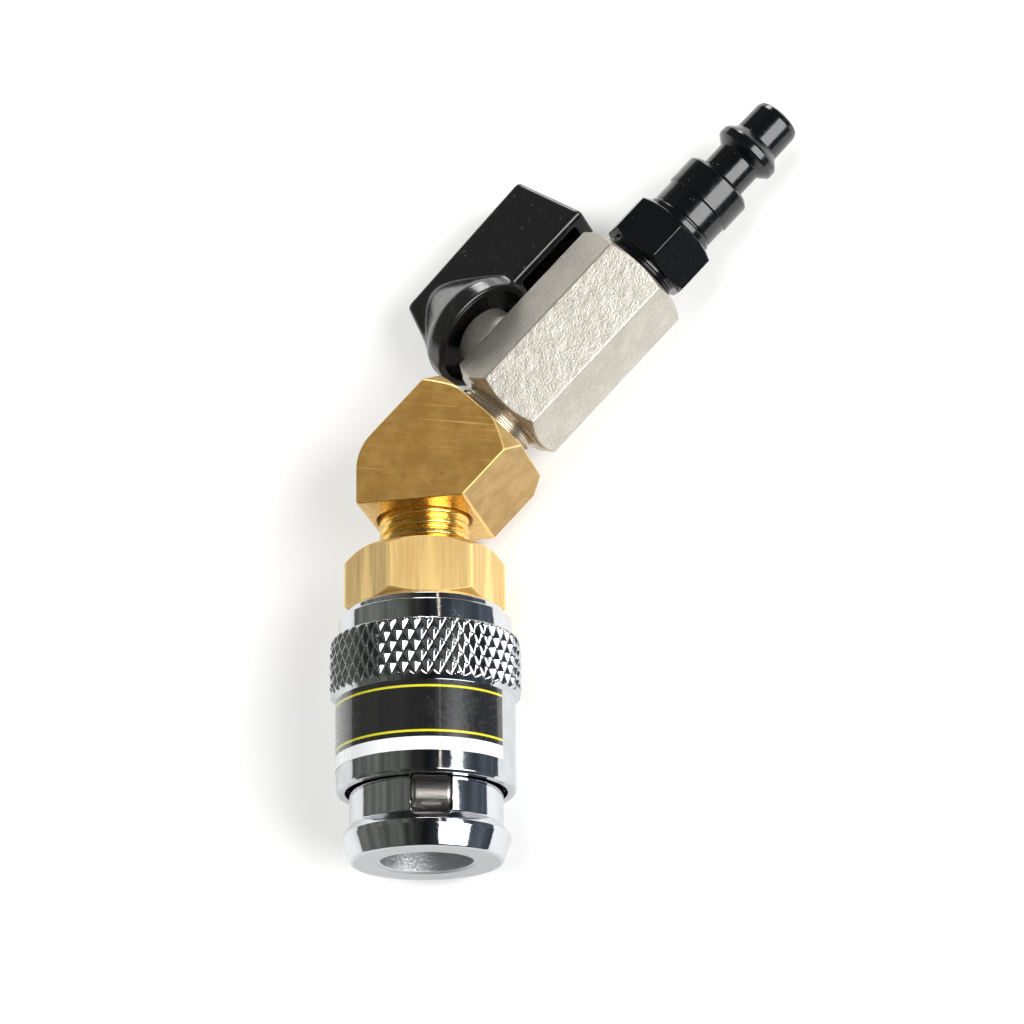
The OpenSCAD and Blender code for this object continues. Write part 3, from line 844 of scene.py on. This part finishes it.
# split the knurl's quads along their creases
q = np.asarray(quads)
ra = np.hypot(v[:, 0], v[:, 1])
mid13 = (ra[q[:, 0]] + ra[q[:, 2]]) / 2
mid24 = (ra[q[:, 1]] + ra[q[:, 3]]) / 2
zc = v[q, 2].mean(1)
rc = ra[q].mean(1)
band = (zc > 25.95) & (zc < 34.72) & (rc > 14.2)
cut = band & (np.abs(mid13 - mid24) > 1e-4)
low = mid13 < mid24
t1 = q[cut & low]
t2 = q[cut & ~low]
tris = (
    [[a, b, c] for a, b, c, d in t1.tolist()] + [[a, c, d] for a, b, c, d in t1.tolist()]
    + [[a, b, d] for a, b, c, d in t2.tolist()] + [[b, c, d] for a, b, c, d in t2.tolist()]
)
sleeve = build("release_sleeve_v", CHUCK, v, q[~cut], tris + others, M_KNURL, "sleeve", ["release_sleeve"])
sleeve.data.materials.append(M_CHROME)
pz = np.array([(p.center[0], p.center[1], p.center[2]) for p in sleeve.data.polygons])
inv = np.linalg.inv(CHUCK)
local = (pz * 1000) @ inv[:3, :3].T + inv[:3, 3]
plain = (local[:, 2] < 25.9) | (np.hypot(local[:, 0], local[:, 1]) < 14.2)
sleeve.data.polygons.foreach_set("material_index", plain.astype(np.int32))

# label
theta = np.radians(np.linspace(-177.8, -19.8, 160))
outline, _ = rounded([(13.9, 14.2), (14.0, 14.2), (14.0, 25.2), (13.9, 25.2)], [0.0, 0.04, 0.04, 0.0], 3)
v, quads, others = revolve(outline, theta, arc=True)
build("sleeve_label_v", CHUCK, v, quads, others, label_film("label_film", CHUCK), "sleeve", ["sleeve_label"])

# rollers
for k in range(3):
    place = CHUCK @ turn("z", WINDOW_A + 120 * k) @ shift(9.15, 0, 8.5) @ turn("x", 90)
    outline, _ = rounded([(0, -2.95), (2.9, -2.95), (2.9, 2.95), (0, 2.95)], [0, 0.6, 0.6, 0], 8)
    v, quads, others = revolve(outline, circle(96), closed=False)
    build(
        "locking_roller_%d_v" % (k + 1), place, v, quads, others,
        satin_steel("roller_steel_%d" % (k + 1), place), "roller_%d" % (k + 1),
        ["locking_roller_%d" % (k + 1)],
    )


def coil_mesh(name, r, z0, z1, turns, wire_r, mat, node):
    steps, sides = int(turns * (48)), 12
    f = np.arange(steps + 1) / steps
    dead = 0.75 / turns
    g = np.clip((f - dead) / (1 - 2 * dead), 0, 1)
    a = 2 * math.pi * turns * f
    z = z0 + (z1 - z0) * g
    b = 2 * math.pi * np.arange(sides) / sides
    rr = r + wire_r * np.cos(b)[None, :]
    v = np.stack(
        [rr * np.cos(a)[:, None], rr * np.sin(a)[:, None], z[:, None] + wire_r * np.sin(b)[None, :]], 2
    ).reshape(-1, 3)
    idx = np.arange((steps + 1) * sides).reshape(steps + 1, sides)
    nxt = np.roll(idx, -1, 1)
    quads = np.stack([idx[:-1], nxt[:-1], nxt[1:], idx[1:]], 2).reshape(-1, 4)[:, ::-1]
    ends = [[int(x) for x in idx[0]], [int(x) for x in idx[-1]][::-1]]
    o = build(name, CHUCK, v, quads, ends, mat, "fitting", [node])
    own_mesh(o)
    return o


M_WIRE = wire("spring_wire", CHUCK)
coil_mesh("sleeve_spring_v", 12.45, 17.15, 33.75, 7, 0.48, M_WIRE, "sleeve_spring")
coil_mesh("poppet_spring_v", 4.9, 25.86, 34.6, 5, 0.40, M_WIRE, "poppet_spring")

# ------------------------------------------------------------------ brass tail

theta = hex_angles(18.0, 16)
hexr, off = hex_radius(theta, 11.0, 0.22, 18.0)
T = len(theta)
one = np.ones(T)


def col(r, z):
    return np.stack([r * one, z * one], 1)


rc = 11.0 / math.cos(math.radians(30))
lo_cone = np.maximum(40.27, 40.2 + (hexr - (rc - 1.7)) / 1.71 * 0.65)
hi_cone = np.minimum(49.08, 49.1 - (hexr - (rc - 1.75)) / 1.76 * 1.3)
pts = [
    (col(5.9, 31.15), 0), (col(8.97, 31.15), 0.2), (col(8.97, 35.4), 0), (col(7.66, 35.4), 0.1),
    (col(7.66, 37.0), 0.1), (col(8.97, 37.0), 0), (col(8.97, 39.52), 0.05), (col(11.3, 39.52), 0.12),
    (col(11.3, 40.24), 0.08), (np.stack([np.minimum(hexr, 11.1) - 0.06, 40.245 * one], 1), 0.0),
    (np.stack([hexr, lo_cone], 1), 0.10), (np.stack([hexr, hi_cone], 1), 0.14),
    (np.stack([np.minimum(10.95, hexr - 0.04), 49.1 * one], 1), 0.10), (col(6.7, 49.1), 0.0),
    (col(7.1, 61.4), 0.0), (col(6.7, 61.8), 0.1), (col(4.0, 61.8), 0.1), (col(4.0, 35.0), 0), (col(5.9, 35.0), 0),
]
outline, last = rounded(np.stack([p for p, _ in pts], 1), [f for _, f in pts], 4)
PITCH = 1.411
COARSE = 1.8
zt = np.arange(49.4, 56.6, COARSE / (20))
tt, zz = np.meshgrid(theta, zt, indexing="ij")
phase = (zz / COARSE - tt / (2 * math.pi) + 0.30) % 1.0
groove = np.clip(1 - np.abs(phase - 0.5) / 0.36, 0, 1)
groove = groove * groove * (3 - 2 * groove)
fade = np.clip((zz - 49.4) / 0.5, 0, 1) * np.clip((55.3 - zz) / 1.2, 0, 1)
rt = 7.1 - 0.60 * groove * fade - 0.35 * np.clip((49.9 - zz) / 0.5, 0, 1)
outline = insert(outline, np.stack([rt, zz], 2), last[13])
v, quads, others = revolve(outline, theta)
ra = np.hypot(v[:, 0], v[:, 1])
offv = np.repeat(off, outline.shape[1])
near_corner = np.exp(-((np.degrees(offv) / 1.1) ** 2)) * (ra > 11.2)
hv = np.repeat(hexr, outline.shape[1])
lo_v, hi_v = np.repeat(lo_cone, outline.shape[1]), np.repeat(hi_cone, outline.shape[1])
ring_edge = np.exp(-(((v[:, 2] - hi_v) / 0.06) ** 2)) + np.exp(-(((v[:, 2] - lo_v) / 0.06) ** 2))
wear = np.clip(near_corner + ring_edge * (ra > 10.7), 0, 1) * ((v[:, 2] > 40.2) & (v[:, 2] < 49.15))
thread = ((v[:, 2] > 49.12) & (ra < 8)).astype(float)
thread = np.maximum(thread, (v[:, 2] > 48.98) * (ra < 10.6) * 0.5)
build("tail_adapter_v", CHUCK, v, quads, others, brass_hex("brass_hex", CHUCK), "fitting", ["tail_adapter"], {"wear": wear, "thread": thread})

# ------------------------------------------------- shapes from distance fields


def smax(a, b, k):
    h = np.clip(k - np.abs(a - b), 0, None) / k
    return np.maximum(a, b) + h * h * k * 0.25


def smin(a, b, k):
    return -smax(-a, -b, k)


def surface(field, lo, hi, step):
    """Quads on the zero level of field(points), pulled onto the true surface."""
    lo, hi = np.array(lo, float), np.array(hi, float)
    n = np.ceil((hi - lo) / step).astype(int) + 1
    axes = [lo[k] + step * np.arange(n[k]) for k in range(3)]
    val = np.empty(tuple(n))
    for a in range(n[0]):
        g = np.stack(np.meshgrid(axes[0][a : a + 1], axes[1], axes[2], indexing="ij"), -1)
        val[a] = field(g.reshape(-1, 3)).reshape(n[1], n[2])
    inside = val < 0
    c = np.zeros(tuple(n - 1), int)
    for dx in (0, 1):
        for dy in (0, 1):
            for dz in (0, 1):
                c += inside[dx : n[0] - 1 + dx, dy : n[1] - 1 + dy, dz : n[2] - 1 + dz]
    cells = (c > 0) & (c < 8)
    index = -np.ones(cells.shape, int)
    where = np.argwhere(cells)
    index[cells] = np.arange(len(where))
    # mean of the edge crossings of each cell
    total = np.zeros((len(where), 3))
    count = np.zeros(len(where))
    corners = [(0, 0, 0), (1, 0, 0), (0, 1, 0), (1, 1, 0), (0, 0, 1), (1, 0, 1), (0, 1, 1), (1, 1, 1)]
    for i in range(8):
        for j in range(i + 1, 8):
            d = np.abs(np.array(corners[i]) - np.array(corners[j]))
            if d.sum() != 1:
                continue
            a = where + corners[i]
            b = where + corners[j]
            va, vb = val[tuple(a.T)], val[tuple(b.T)]
            ok = (va < 0) != (vb < 0)
            t = np.where(ok, va / np.where(ok, va - vb, 1), 0)
            p = a + (b - a) * t[:, None]
            total += np.where(ok[:, None], p, 0)
            count += ok
    pts = lo + step * total / count[:, None]
    quads = []
    for ax in range(3):
        o = [0, 0, 0]
        o[ax] = 1
        a = inside[: n[0] - o[0], : n[1] - o[1], : n[2] - o[2]]
        b = inside[o[0] :, o[1] :, o[2] :]
        e = np.argwhere(a != b)
        e = e[np.all([(e[:, k] > 0) & (e[:, k] < n[k] - 1) for k in range(3) if k != ax], axis=0)]
        u, w = [(1, 2), (2, 0), (0, 1)][ax]
        du, dw = np.zeros(3, int), np.zeros(3, int)
        du[u], dw[w] = 1, 1
        i00 = index[tuple((e - du - dw).T)]
        i10 = index[tuple((e - dw).T)]
        i11 = index[tuple(e.T)]
        i01 = index[tuple((e - du).T)]
        qd = np.stack([i00, i10, i11, i01], 1)
        flip = ~inside[tuple(e.T)]
        qd[flip] = qd[flip][:, ::-1]
        quads.append(qd)
    quads = np.concatenate(quads)
    quads = quads[np.all(quads >= 0, 1)]
    h = 0.01

    def gradient(p):
        g = np.empty_like(p)
        for k in range(3):
            s = np.zeros(3)
            s[k] = h
            g[:, k] = (field(p + s) - field(p - s)) / (2 * h)
        return g

    for _ in range(4):
        g = gradient(pts)
        f = field(pts)
        move = -f[:, None] * g / np.maximum((g * g).sum(1), 0.05)[:, None]
        length = np.linalg.norm(move, axis=1, keepdims=True)
        pts = pts + move * np.minimum(1.0, 0.5 * step / np.maximum(length, 1e-9))
    g = gradient(pts)
    g /= np.maximum(np.linalg.norm(g, axis=1, keepdims=True), 1e-9)
    return pts, quads, g


# ----------------------------------------------------------------------- elbow

C45 = math.sqrt(0.5)


def elbow_planes(p):
    x, y, z = p[:, 0], p[:, 1], p[:, 2]
    q = (x + z) * C45
    s = (x - z) * C45
    rho = np.hypot(s, y)
    low = -4.3 - z
    left = -8.3 - x
    outer = -s - 9.23
    inner = s - 9.23
    end = q - 15.4
    cone = (rho + q - 27.0) * C45
    flat = np.abs(y) - 11.0
    # rounded outer corner between the left face and the outer side
    cx, r = -0.3, 8.0
    cz = (cx * C45 + 9.23 - r) / C45
    vx, vz = x - cx, z - cz
    between = (vz > 0) & (vx + vz < 0)
    corner = np.where(between, np.hypot(vx, vz) - r, np.maximum(left, outer))
    return low, corner, inner, end, cone, flat


def elbow_field(p):
    low, corner, inner, end, cone, flat = elbow_planes(p)
    k = 0.28
    d = smax(low, corner, k)
    d = smax(d, inner, k)
    d = smax(d, cone, 0.2)
    d = smax(d, end, 0.2)
    d = smax(d, flat, k)
    x, y, z = p[:, 0], p[:, 1], p[:, 2]
    q = (x + z) * C45
    s = (x - z) * C45
    port = np.maximum(np.hypot(x, y) - 7.12, z - 2.6)
    port = np.minimum(port, (np.hypot(x, y) - 7.75 + z + 4.3) * C45)
    port2 = np.maximum(np.hypot(s, y) - 6.88, 6.9 - q)
    port2 = np.minimum(port2, (np.hypot(s, y) - 7.6 - q + 15.4) * C45)
    bore = np.maximum(np.hypot(x, y) - 4.3, z)
    bore2 = np.maximum(np.hypot(s, y) - 4.3, -q)
    ball = np.sqrt(x * x + y * y + z * z) - 4.3
    hole = np.minimum(np.minimum(port, port2), np.minimum(np.minimum(bore, bore2), ball))
    return smax(d, -hole, 0.08)


step = 0.2
v, quads, g = surface(elbow_field, (-9.7, -12.3, -5.7), (18.6, 12.3, 18.9), step)
planes = np.sort(np.stack(elbow_planes(v), 1), 1)
gap = planes[:, -1] - planes[:, -2]
wear = np.exp(-((gap / 0.22) ** 2)) * (planes[:, -1] > -0.5)
build("elbow_v", BEND, v, quads, [], brass_elbow("brass_elbow", BEND), "fitting", ["elbow"], {"wear": wear}, normals=g)

# ------------------------------------------------------------------ ball valve

ROLL = 169.4
theta = hex_angles(30.0, 52, 0.9)
hexr, off = hex_radius(theta, 9.0, 0.35, 30.0)
T = len(theta)
one = np.ones(T)
rc = 9.0 / math.cos(math.radians(30))
lo_cone = 18.0 + (hexr - (rc - 1.85)) / 1.85 * 1.3
hi_cone = np.minimum(49.18, 49.2 - (hexr - (rc - 1.5)) / 1.5 * 0.75)
pts = [
    (col(3.9, 7.2), 0.0), (col(6.5, 7.2), 0.1), (col(6.86, 7.7), 0.0), (col(6.86, 16.75), 0.1),
    (col(6.45, 16.95), 0.15), (col(6.45, 17.2), 0.25), (col(7.3, 17.9), 0.3), (col(rc - 1.85, 18.0), 0.4), (np.stack([hexr, lo_cone], 1), 0.35),
    (np.stack([hexr, hi_cone], 1), 0.3), (np.stack([np.minimum(rc - 1.5, hexr - 0.05), 49.2 * one], 1), 0.2),
    (col(7.6, 49.2), 0.1), (col(6.9, 48.5), 0.1), (col(6.9, 38.1), 0.0), (col(7.0, 38.0), 0.0),
    (col(7.0, 20.0), 0.1), (col(3.9, 20.0), 0.1),
]
outline, last = rounded(np.stack([p for p, _ in pts], 1), [f for _, f in pts], 5)
# rows along the flats
nrow = 90
a, b = outline[:, last[8]], outline[:, last[8] + 1]
f = np.linspace(0, 1, nrow + 2)[1:-1]
rows = a[:, None, :] * (1 - f)[None, :, None] + b[:, None, :] * f[None, :, None]
outline = insert(outline, rows, last[8])
zt = np.arange(7.8, 16.6, PITCH / (14))
tt, zz = np.meshgrid(theta, zt, indexing="ij")
phase = (zz / PITCH - tt / (2 * math.pi)) % 1.0
crest = np.clip((0.5 - 0.5 * np.cos(2 * math.pi * phase) - 0.04) * 1.7, 0, 1)
rt = 6.86 - 0.45 + 0.45 * crest
rt = np.where(zz > 16.3, rt + (6.86 - rt) * np.clip((zz - 16.3) / 0.25, 0, 1), rt)
outline = insert(outline, np.stack([rt, zz], 2), last[2])
v, quads, others = revolve(outline, theta)
ra = np.hypot(v[:, 0], v[:, 1])
n_out = outline.shape[1]
offv = np.repeat(off, n_out)
lo_v, hi_v = np.repeat(lo_cone, n_out), np.repeat(hi_cone, n_out)
zl = v[:, 2]
corner_wear = np.exp(-((np.degrees(offv) / 1.7) ** 2)) * (ra > 9.8)
ring_wear = np.exp(-(((zl - hi_v) / 0.3) ** 2)) + np.exp(-(((zl - lo_v) / 0.35) ** 2))
wear = np.clip(corner_wear + ring_wear * (ra > 8.6), 0, 1)
turned = np.clip((18.25 - zl) / 0.5, 0, 1)
turned = np.maximum(turned, np.clip((9.0 - ra) / 0.2, 0, 1))
# the casting's slight unevenness, in the mesh itself
rng = np.random.default_rng(7)
bump = np.zeros(len(v))
for freq, amp in ((0.9, 0.008), (1.9, 0.008), (3.4, 0.007)):
    for _ in range(9):
        d = rng.normal(size=3)
        d = d / np.linalg.norm(d) * freq * rng.uniform(0.8, 1.25) * 2 * math.pi / 2.2
        bump += amp / 3 * np.sin(v @ d + rng.uniform(0, 6.28))
cast = (1 - turned) * (ra > 8.9)
v[:, 0] *= 1 + bump * cast / np.maximum(ra, 1)
v[:, 1] *= 1 + bump * cast / np.maximum(ra, 1)
VROLL = VALVE @ turn("z", ROLL)
parts = [(v, np.asarray(quads), others, {"wear": wear, "thread": turned})]
# boss round the stem, drawn in the stem's frame and carried over
bo, _ = rounded([(2.5, 8.0), (5.42, 8.0), (5.3, 9.5), (5.12, 12.9), (4.7, 13.3), (2.5, 13.3)], [0, 0, 0.3, 0.3, 0.25, 0.1], 5)
bv, bq, bo2 = revolve(bo, circle(96))
to_valve = np.linalg.inv(VROLL) @ STEM
bv = bv @ to_valve[:3, :3].T + to_valve[:3, 3]
M_NICKEL = nickel("nickel_cast", VROLL)
nv = len(v)
vv = np.concatenate([v, bv])
qq = np.concatenate([np.asarray(quads), np.asarray(bq) + nv])
build(
    "valve_body_v", VROLL, vv, qq, others + [[i + nv for i in f] for f in bo2], M_NICKEL, "fitting", ["valve_body"],
    {"wear": np.concatenate([wear, np.zeros(len(bv))]), "thread": np.concatenate([turned, np.zeros(len(bv))])},
)

# ---------------------------------------------------------------------- handle

FIN = np.array([(-9.3, 13.2), (25.3, 13.2), (23.0, 26.9), (-4.6, 25.8)])


def polygon_distance(u, w, poly):
    """Signed distance to a convex polygon given counter-clockwise, as the largest side distance."""
    d = np.full(u.shape, -1e9)
    for k in range(len(poly)):
        a, b = poly[k], poly[(k + 1) % len(poly)]
        e = (b - a) / np.linalg.norm(b - a)
        n = np.array([e[1], -e[0]])
        d = smax(d, (u - a[0]) * n[0] + (w - a[1]) * n[1], 0.8) if k else (u - a[0]) * n[0] + (w - a[1]) * n[1]
    return d


def handle_field(p, wear=False):
    x, y, z = p[:, 0], p[:, 1], p[:, 2]
    rho = np.hypot(x, y)
    fin = polygon_distance(x, z, FIN)
    thick = np.abs(y) - 3.7 + 0.012 * (z - 13.2)
    fin = smax(fin, thick, 1.1)
    cone = (rho - (9.55 - (z - 15.6) * 0.74)) * 0.804
    hub = smax(smax(rho - 9.55, cone, 0.5), 12.7 - z, 0.45)
    hub = smax(hub, z - 24.0, 1.0)
    d = smin(fin, hub, 0.7)
    channel = smax(smax(np.abs(y) - 2.0, 10.3 - x, 0.8), x - (23.0 - (z - 13.2) * 0.16), 0.8)
    channel = smax(channel, z - (24.0 + (x + 4) * 0.04), 0.8)
    d = smax(d, -channel, 0.35)
    d = smax(d, -np.maximum(rho - 8.3, z - 15.2), 0.35)
    square = np.maximum(np.maximum(np.abs(x), np.abs(y)) - 1.84, z - 18.75)
    d = np.maximum(d, -square)
    pocket = np.maximum(rho - 2.4, 19.2 - z)
    d = smax(d, -pocket, 0.25)
    return d


v, quads, g = surface(handle_field, (-11.1, -10.9, 11.9), (26.7, 10.9, 28.1), step)
edge = np.abs(np.abs(v[:, 1]) - 3.35)
fin = polygon_distance(v[:, 0], v[:, 2], FIN)
wear = np.exp(-((edge / 0.22) ** 2)) * np.exp(-(((fin + 0.25) / 0.3) ** 2))
build("handle_v", STEM, v, quads, [], black_lever("lever_black", STEM), "valve_turn", ["handle"], {"wear": wear}, normals=g)

# ------------------------------------------------------------------------ plug

PROLL = -64.3
theta = hex_angles(0.0, 20, 0.9)
hexr, off = hex_radius(theta, 7.25, 0.16, 0.0)
T = len(theta)
one = np.ones(T)
rc = 7.25 / math.cos(math.radians(30))
lo_end = np.minimum(rc - 0.9, hexr - 0.05)
lo_cone = np.maximum(51.24, 51.2 + (hexr - (rc - 0.9)) / 0.9 * 0.7)
hi_end = np.minimum(rc - 1.5, hexr - 0.05)
hi_cone = np.minimum(58.96, 59.0 - (hexr - (rc - 1.5)) / 1.5 * 0.9)
pts = [
    (col(4.2, 40.6), 0.1), (col(6.4, 40.6), 0.2), (col(6.6, 41.1), 0.0), (col(6.5, 50.4), 0.0),
    (col(6.2, 50.65), 0.1), (col(6.2, 51.2), 0.05), (np.stack([lo_end, 51.2 * one], 1), 0.08),
    (np.stack([hexr, lo_cone], 1), 0.10), (np.stack([hexr, hi_cone], 1), 0.12),
    (np.stack([hi_end, 59.0 * one], 1), 0.10), (col(5.9, 59.0), 0.12), (col(5.9, 60.0), 0.15),
    (col(5.5, 60.25), 0.1), (col(5.5, 60.45), 0.1), (col(5.68, 60.65), 0.12), (col(5.68, 64.0), 0.1),
    (col(5.95, 64.2), 0.12), (col(5.95, 68.9), 0.35), (col(5.35, 69.45), 0.1), (col(3.92, 69.6), 0.25),
    (col(3.92, 74.0), 0.5), (col(5.3, 75.15), 0.2), (col(5.43, 75.45), 0.12), (col(5.43, 76.45), 0.15),
    (col(5.2, 76.85), 0.2), (col(4.05, 78.05), 0.25), (col(4.0, 82.7), 0.2), (col(3.72, 83.45), 0.2),
    (col(3.2, 83.8), 0.1), (col(2.75, 83.4), 0.05), (col(2.75, 46.0), 0.1), (col(4.2, 46.0), 0.1),
]
outline, last = rounded(np.stack([p for p, _ in pts], 1), [f for _, f in pts], 5)
zt = np.arange(41.2, 50.35, PITCH / (14))
tt, zz = np.meshgrid(theta, zt, indexing="ij")
phase = (zz / PITCH - tt / (2 * math.pi)) % 1.0
crest = np.clip((0.5 - 0.5 * np.cos(2 * math.pi * phase) - 0.06) * 1.2, 0, 1) ** 0.8
rt = 6.84 - 0.55 + 0.55 * crest
rt = np.where(zz > 50.1, np.minimum(rt, 6.5), rt)
outline = insert(outline, np.stack([rt, zz], 2), last[2])
v, quads, others = revolve(outline, theta)
ra = np.hypot(v[:, 0], v[:, 1])
offv = np.repeat(off, outline.shape[1])
wear = np.exp(-((np.degrees(offv) / 1.2) ** 2)) * (ra > 7.6) * (v[:, 2] > 52.6) * (v[:, 2] < 58.2) * 0.8
build("quick_plug_v", VALVE @ turn("z", PROLL), v, quads, others, black_plate("plug_black", VALVE @ turn("z", PROLL)), "fitting", ["quick_plug"], {"wear": wear})

# ------------------------------------------------- CAD nodes that stay as built


def finish_node(name, mat, angle=40):
    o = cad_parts[name]
    if not o.material_slots:
        o.data.materials.append(mat)
    for s in o.material_slots:
        s.link = "OBJECT"
        s.material = mat


finish_node("sleeve_stop_ring", M_WIRE)
finish_node("mouth_seal", rubber("seal_rubber", CHUCK))
finish_node("poppet_seal", rubber("seal_rubber_2", CHUCK))
finish_node("body_seal", rubber("seal_rubber_3", CHUCK))
finish_node("stem_seal", rubber("seal_rubber_4", STEM))
finish_node("poppet", turned_brass("poppet_brass", CHUCK))
finish_node("seat_retainer", turned_brass("retainer_brass", VALVE))
finish_node("valve_stem", turned_brass("stem_brass", STEM))
finish_node("valve_ball", polished("ball_chrome", STEM))
finish_node("ball_seat_inlet", waxy("seat_plastic", VALVE))
finish_node("ball_seat_outlet", waxy("seat_plastic_2", VALVE))
finish_node("handle_screw", satin_steel("screw_steel", STEM, (170, 170, 168), 0.28))

# ------------------------------------------------------------- floor and light

floor_mesh = bpy.data.meshes.new("floor")
s = 2.5
floor_mesh.from_pydata([(-s, -s, -0.0002), (s, -s, -0.0002), (s, s, -0.0002), (-s, s, -0.0002)], [], [[0, 1, 2, 3]])
floor = bpy.data.objects.new("floor", floor_mesh)
scene.collection.objects.link(floor)
fm = Nodes("floor_paint", None, Metallic=0.0)
fm.set("Base Color", fm.mix(fm.noise(0.004, 3), rgb(246, 246, 245), rgb(243, 243, 242)))
fm.set("Roughness", 0.85)
fm.set("Specular IOR Level", 0.2)
floor_mesh.materials.append(fm.mat)
# polished metal sees the paper on the left and a strip of it on the right
floor.visible_glossy = False
near = [(-0.9, -0.9), (0.024, -0.9), (0.024, -0.012), (0.115, 0.078), (0.115, 0.9), (-0.9, 0.9)]
near_mesh = bpy.data.meshes.new("floor_near")
near_mesh.from_pydata([(x, y, -0.0001) for x, y in near], [], [list(range(6))])
near_floor = bpy.data.objects.new("floor_near", near_mesh)
scene.collection.objects.link(near_floor)
near_mesh.materials.append(fm.mat)
near_floor.visible_camera = near_floor.visible_diffuse = near_floor.visible_shadow = False
near_floor.visible_transmission = near_floor.visible_volume_scatter = False

world = bpy.data.worlds.new("world")
scene.world = world
world.use_nodes = True
wt = world.node_tree
wt.nodes.clear()
wo = wt.nodes.new("ShaderNodeOutputWorld")
bg = wt.nodes.new("ShaderNodeBackground")
ray = wt.nodes.new("ShaderNodeTexCoord").outputs["Generated"]


def along(direction):
    n = wt.nodes.new("ShaderNodeVectorMath")
    n.operation = "DOT_PRODUCT"
    wt.links.new(ray, n.inputs[0])
    n.inputs[1].default_value = tuple(row_dir(CHUCK, direction))
    return n.outputs["Value"]


def wmath(op, a, b=0.0):
    n = wt.nodes.new("ShaderNodeMath")
    n.operation = op
    for k, v in ((0, a), (1, b)):
        if hasattr(v, "links"):
            wt.links.new(v, n.inputs[k])
        else:
            n.inputs[k].default_value = v
    return n.outputs[0]


ramp = wt.nodes.new("ShaderNodeValToRGB")
ramp.color_ramp.elements[0].position, ramp.color_ramp.elements[0].color = 0.0, (0.23, 0.235, 0.21, 1)
ramp.color_ramp.elements[1].position, ramp.color_ramp.elements[1].color = 1.0, (0.13, 0.15, 0.18, 1)
for at, c in ((0.22, (0.165, 0.168, 0.15, 1)), (0.40, (0.055, 0.055, 0.05, 1)), (0.52, (0.020, 0.020, 0.021, 1)), (0.70, (0.052, 0.062, 0.074, 1)), (0.84, (0.095, 0.12, 0.15, 1))):
    e = ramp.color_ramp.elements.new(at)
    e.color = c
side = along((math.cos(math.radians(12.2)), math.sin(math.radians(12.2)), 0))
wt.links.new(wmath("ADD", wmath("MULTIPLY", side, 0.5), 0.5), ramp.inputs[0])
patches = wt.nodes.new("ShaderNodeTexNoise")
patches.inputs["Scale"].default_value = 4.0
patches.inputs["Detail"].default_value = 6.0
patches.inputs["Roughness"].default_value = 0.65
wt.links.new(ray, patches.inputs["Vector"])
strength = wmath("POWER", wmath("MULTIPLY", patches.outputs[0], 1.9), 2.2)
wt.links.new(ramp.outputs[0], bg.inputs["Color"])
wt.links.new(strength, bg.inputs["Strength"])
wt.links.new(bg.outputs[0], wo.inputs[0])

TARGET = Vector((0.0, 0.0, 0.012))


def area_light(name, direction, distance, size, power, colour=(1, 1, 1), shape="DISK", size_y=None, roll=0.0, spread=None):
    """direction is from the object to the light, in the chuck's working frame."""
    d = Vector(row_dir(CHUCK, direction))
    data = bpy.data.lights.new(name, "AREA")
    data.shape = shape
    data.size = size
    if size_y is not None:
        data.size_y = size_y
    data.energy = power
    data.color = colour
    if spread is not None:
        data.spread = spread
    o = bpy.data.objects.new(name, data)
    scene.collection.objects.link(o)
    o.location = TARGET + d * distance
    # the light's own Y axis lies along the chuck's axis
    z = d
    y = Vector(row_dir(CHUCK, (0, 0, 1)))
    x = y.cross(z).normalized()
    y = z.cross(x).normalized()
    m = Matrix(((x.x, y.x, z.x, 0), (x.y, y.y, z.y, 0), (x.z, y.z, z.z, 0), (0, 0, 0, 1)))
    o.matrix_world = Matrix.Translation(o.location) @ m @ Matrix.Rotation(roll, 4, "Z")
    return o


def around(offset, elevation):
    """A direction: degrees to the camera's right about the chuck's axis, degrees towards the elbow."""
    a = math.radians(-77.8 + offset)
    e = math.radians(elevation)
    return (math.cos(a) * math.cos(e), math.sin(a) * math.cos(e), math.sin(e))


area_light("key", around(40, -12), 1.2, 1.14, 25.0)
area_light("strip", around(18.5, 15), 1.3, 0.045, 0.20, (1.0, 0.86, 0.68), "RECTANGLE", 0.75)
area_light("top", around(4, 78), 1.3, 0.50, 6.0)
fill = area_light("fill", (-0.6, -0.5, 0.2), 1.6, 1.6, 24.0)
fill.location = (-0.5, 0.2, 1.6)
fill.rotation_euler = Vector((-0.5, 0.2, 1.6)).to_track_quat("Z", "Y").to_euler()
fill.visible_glossy = False
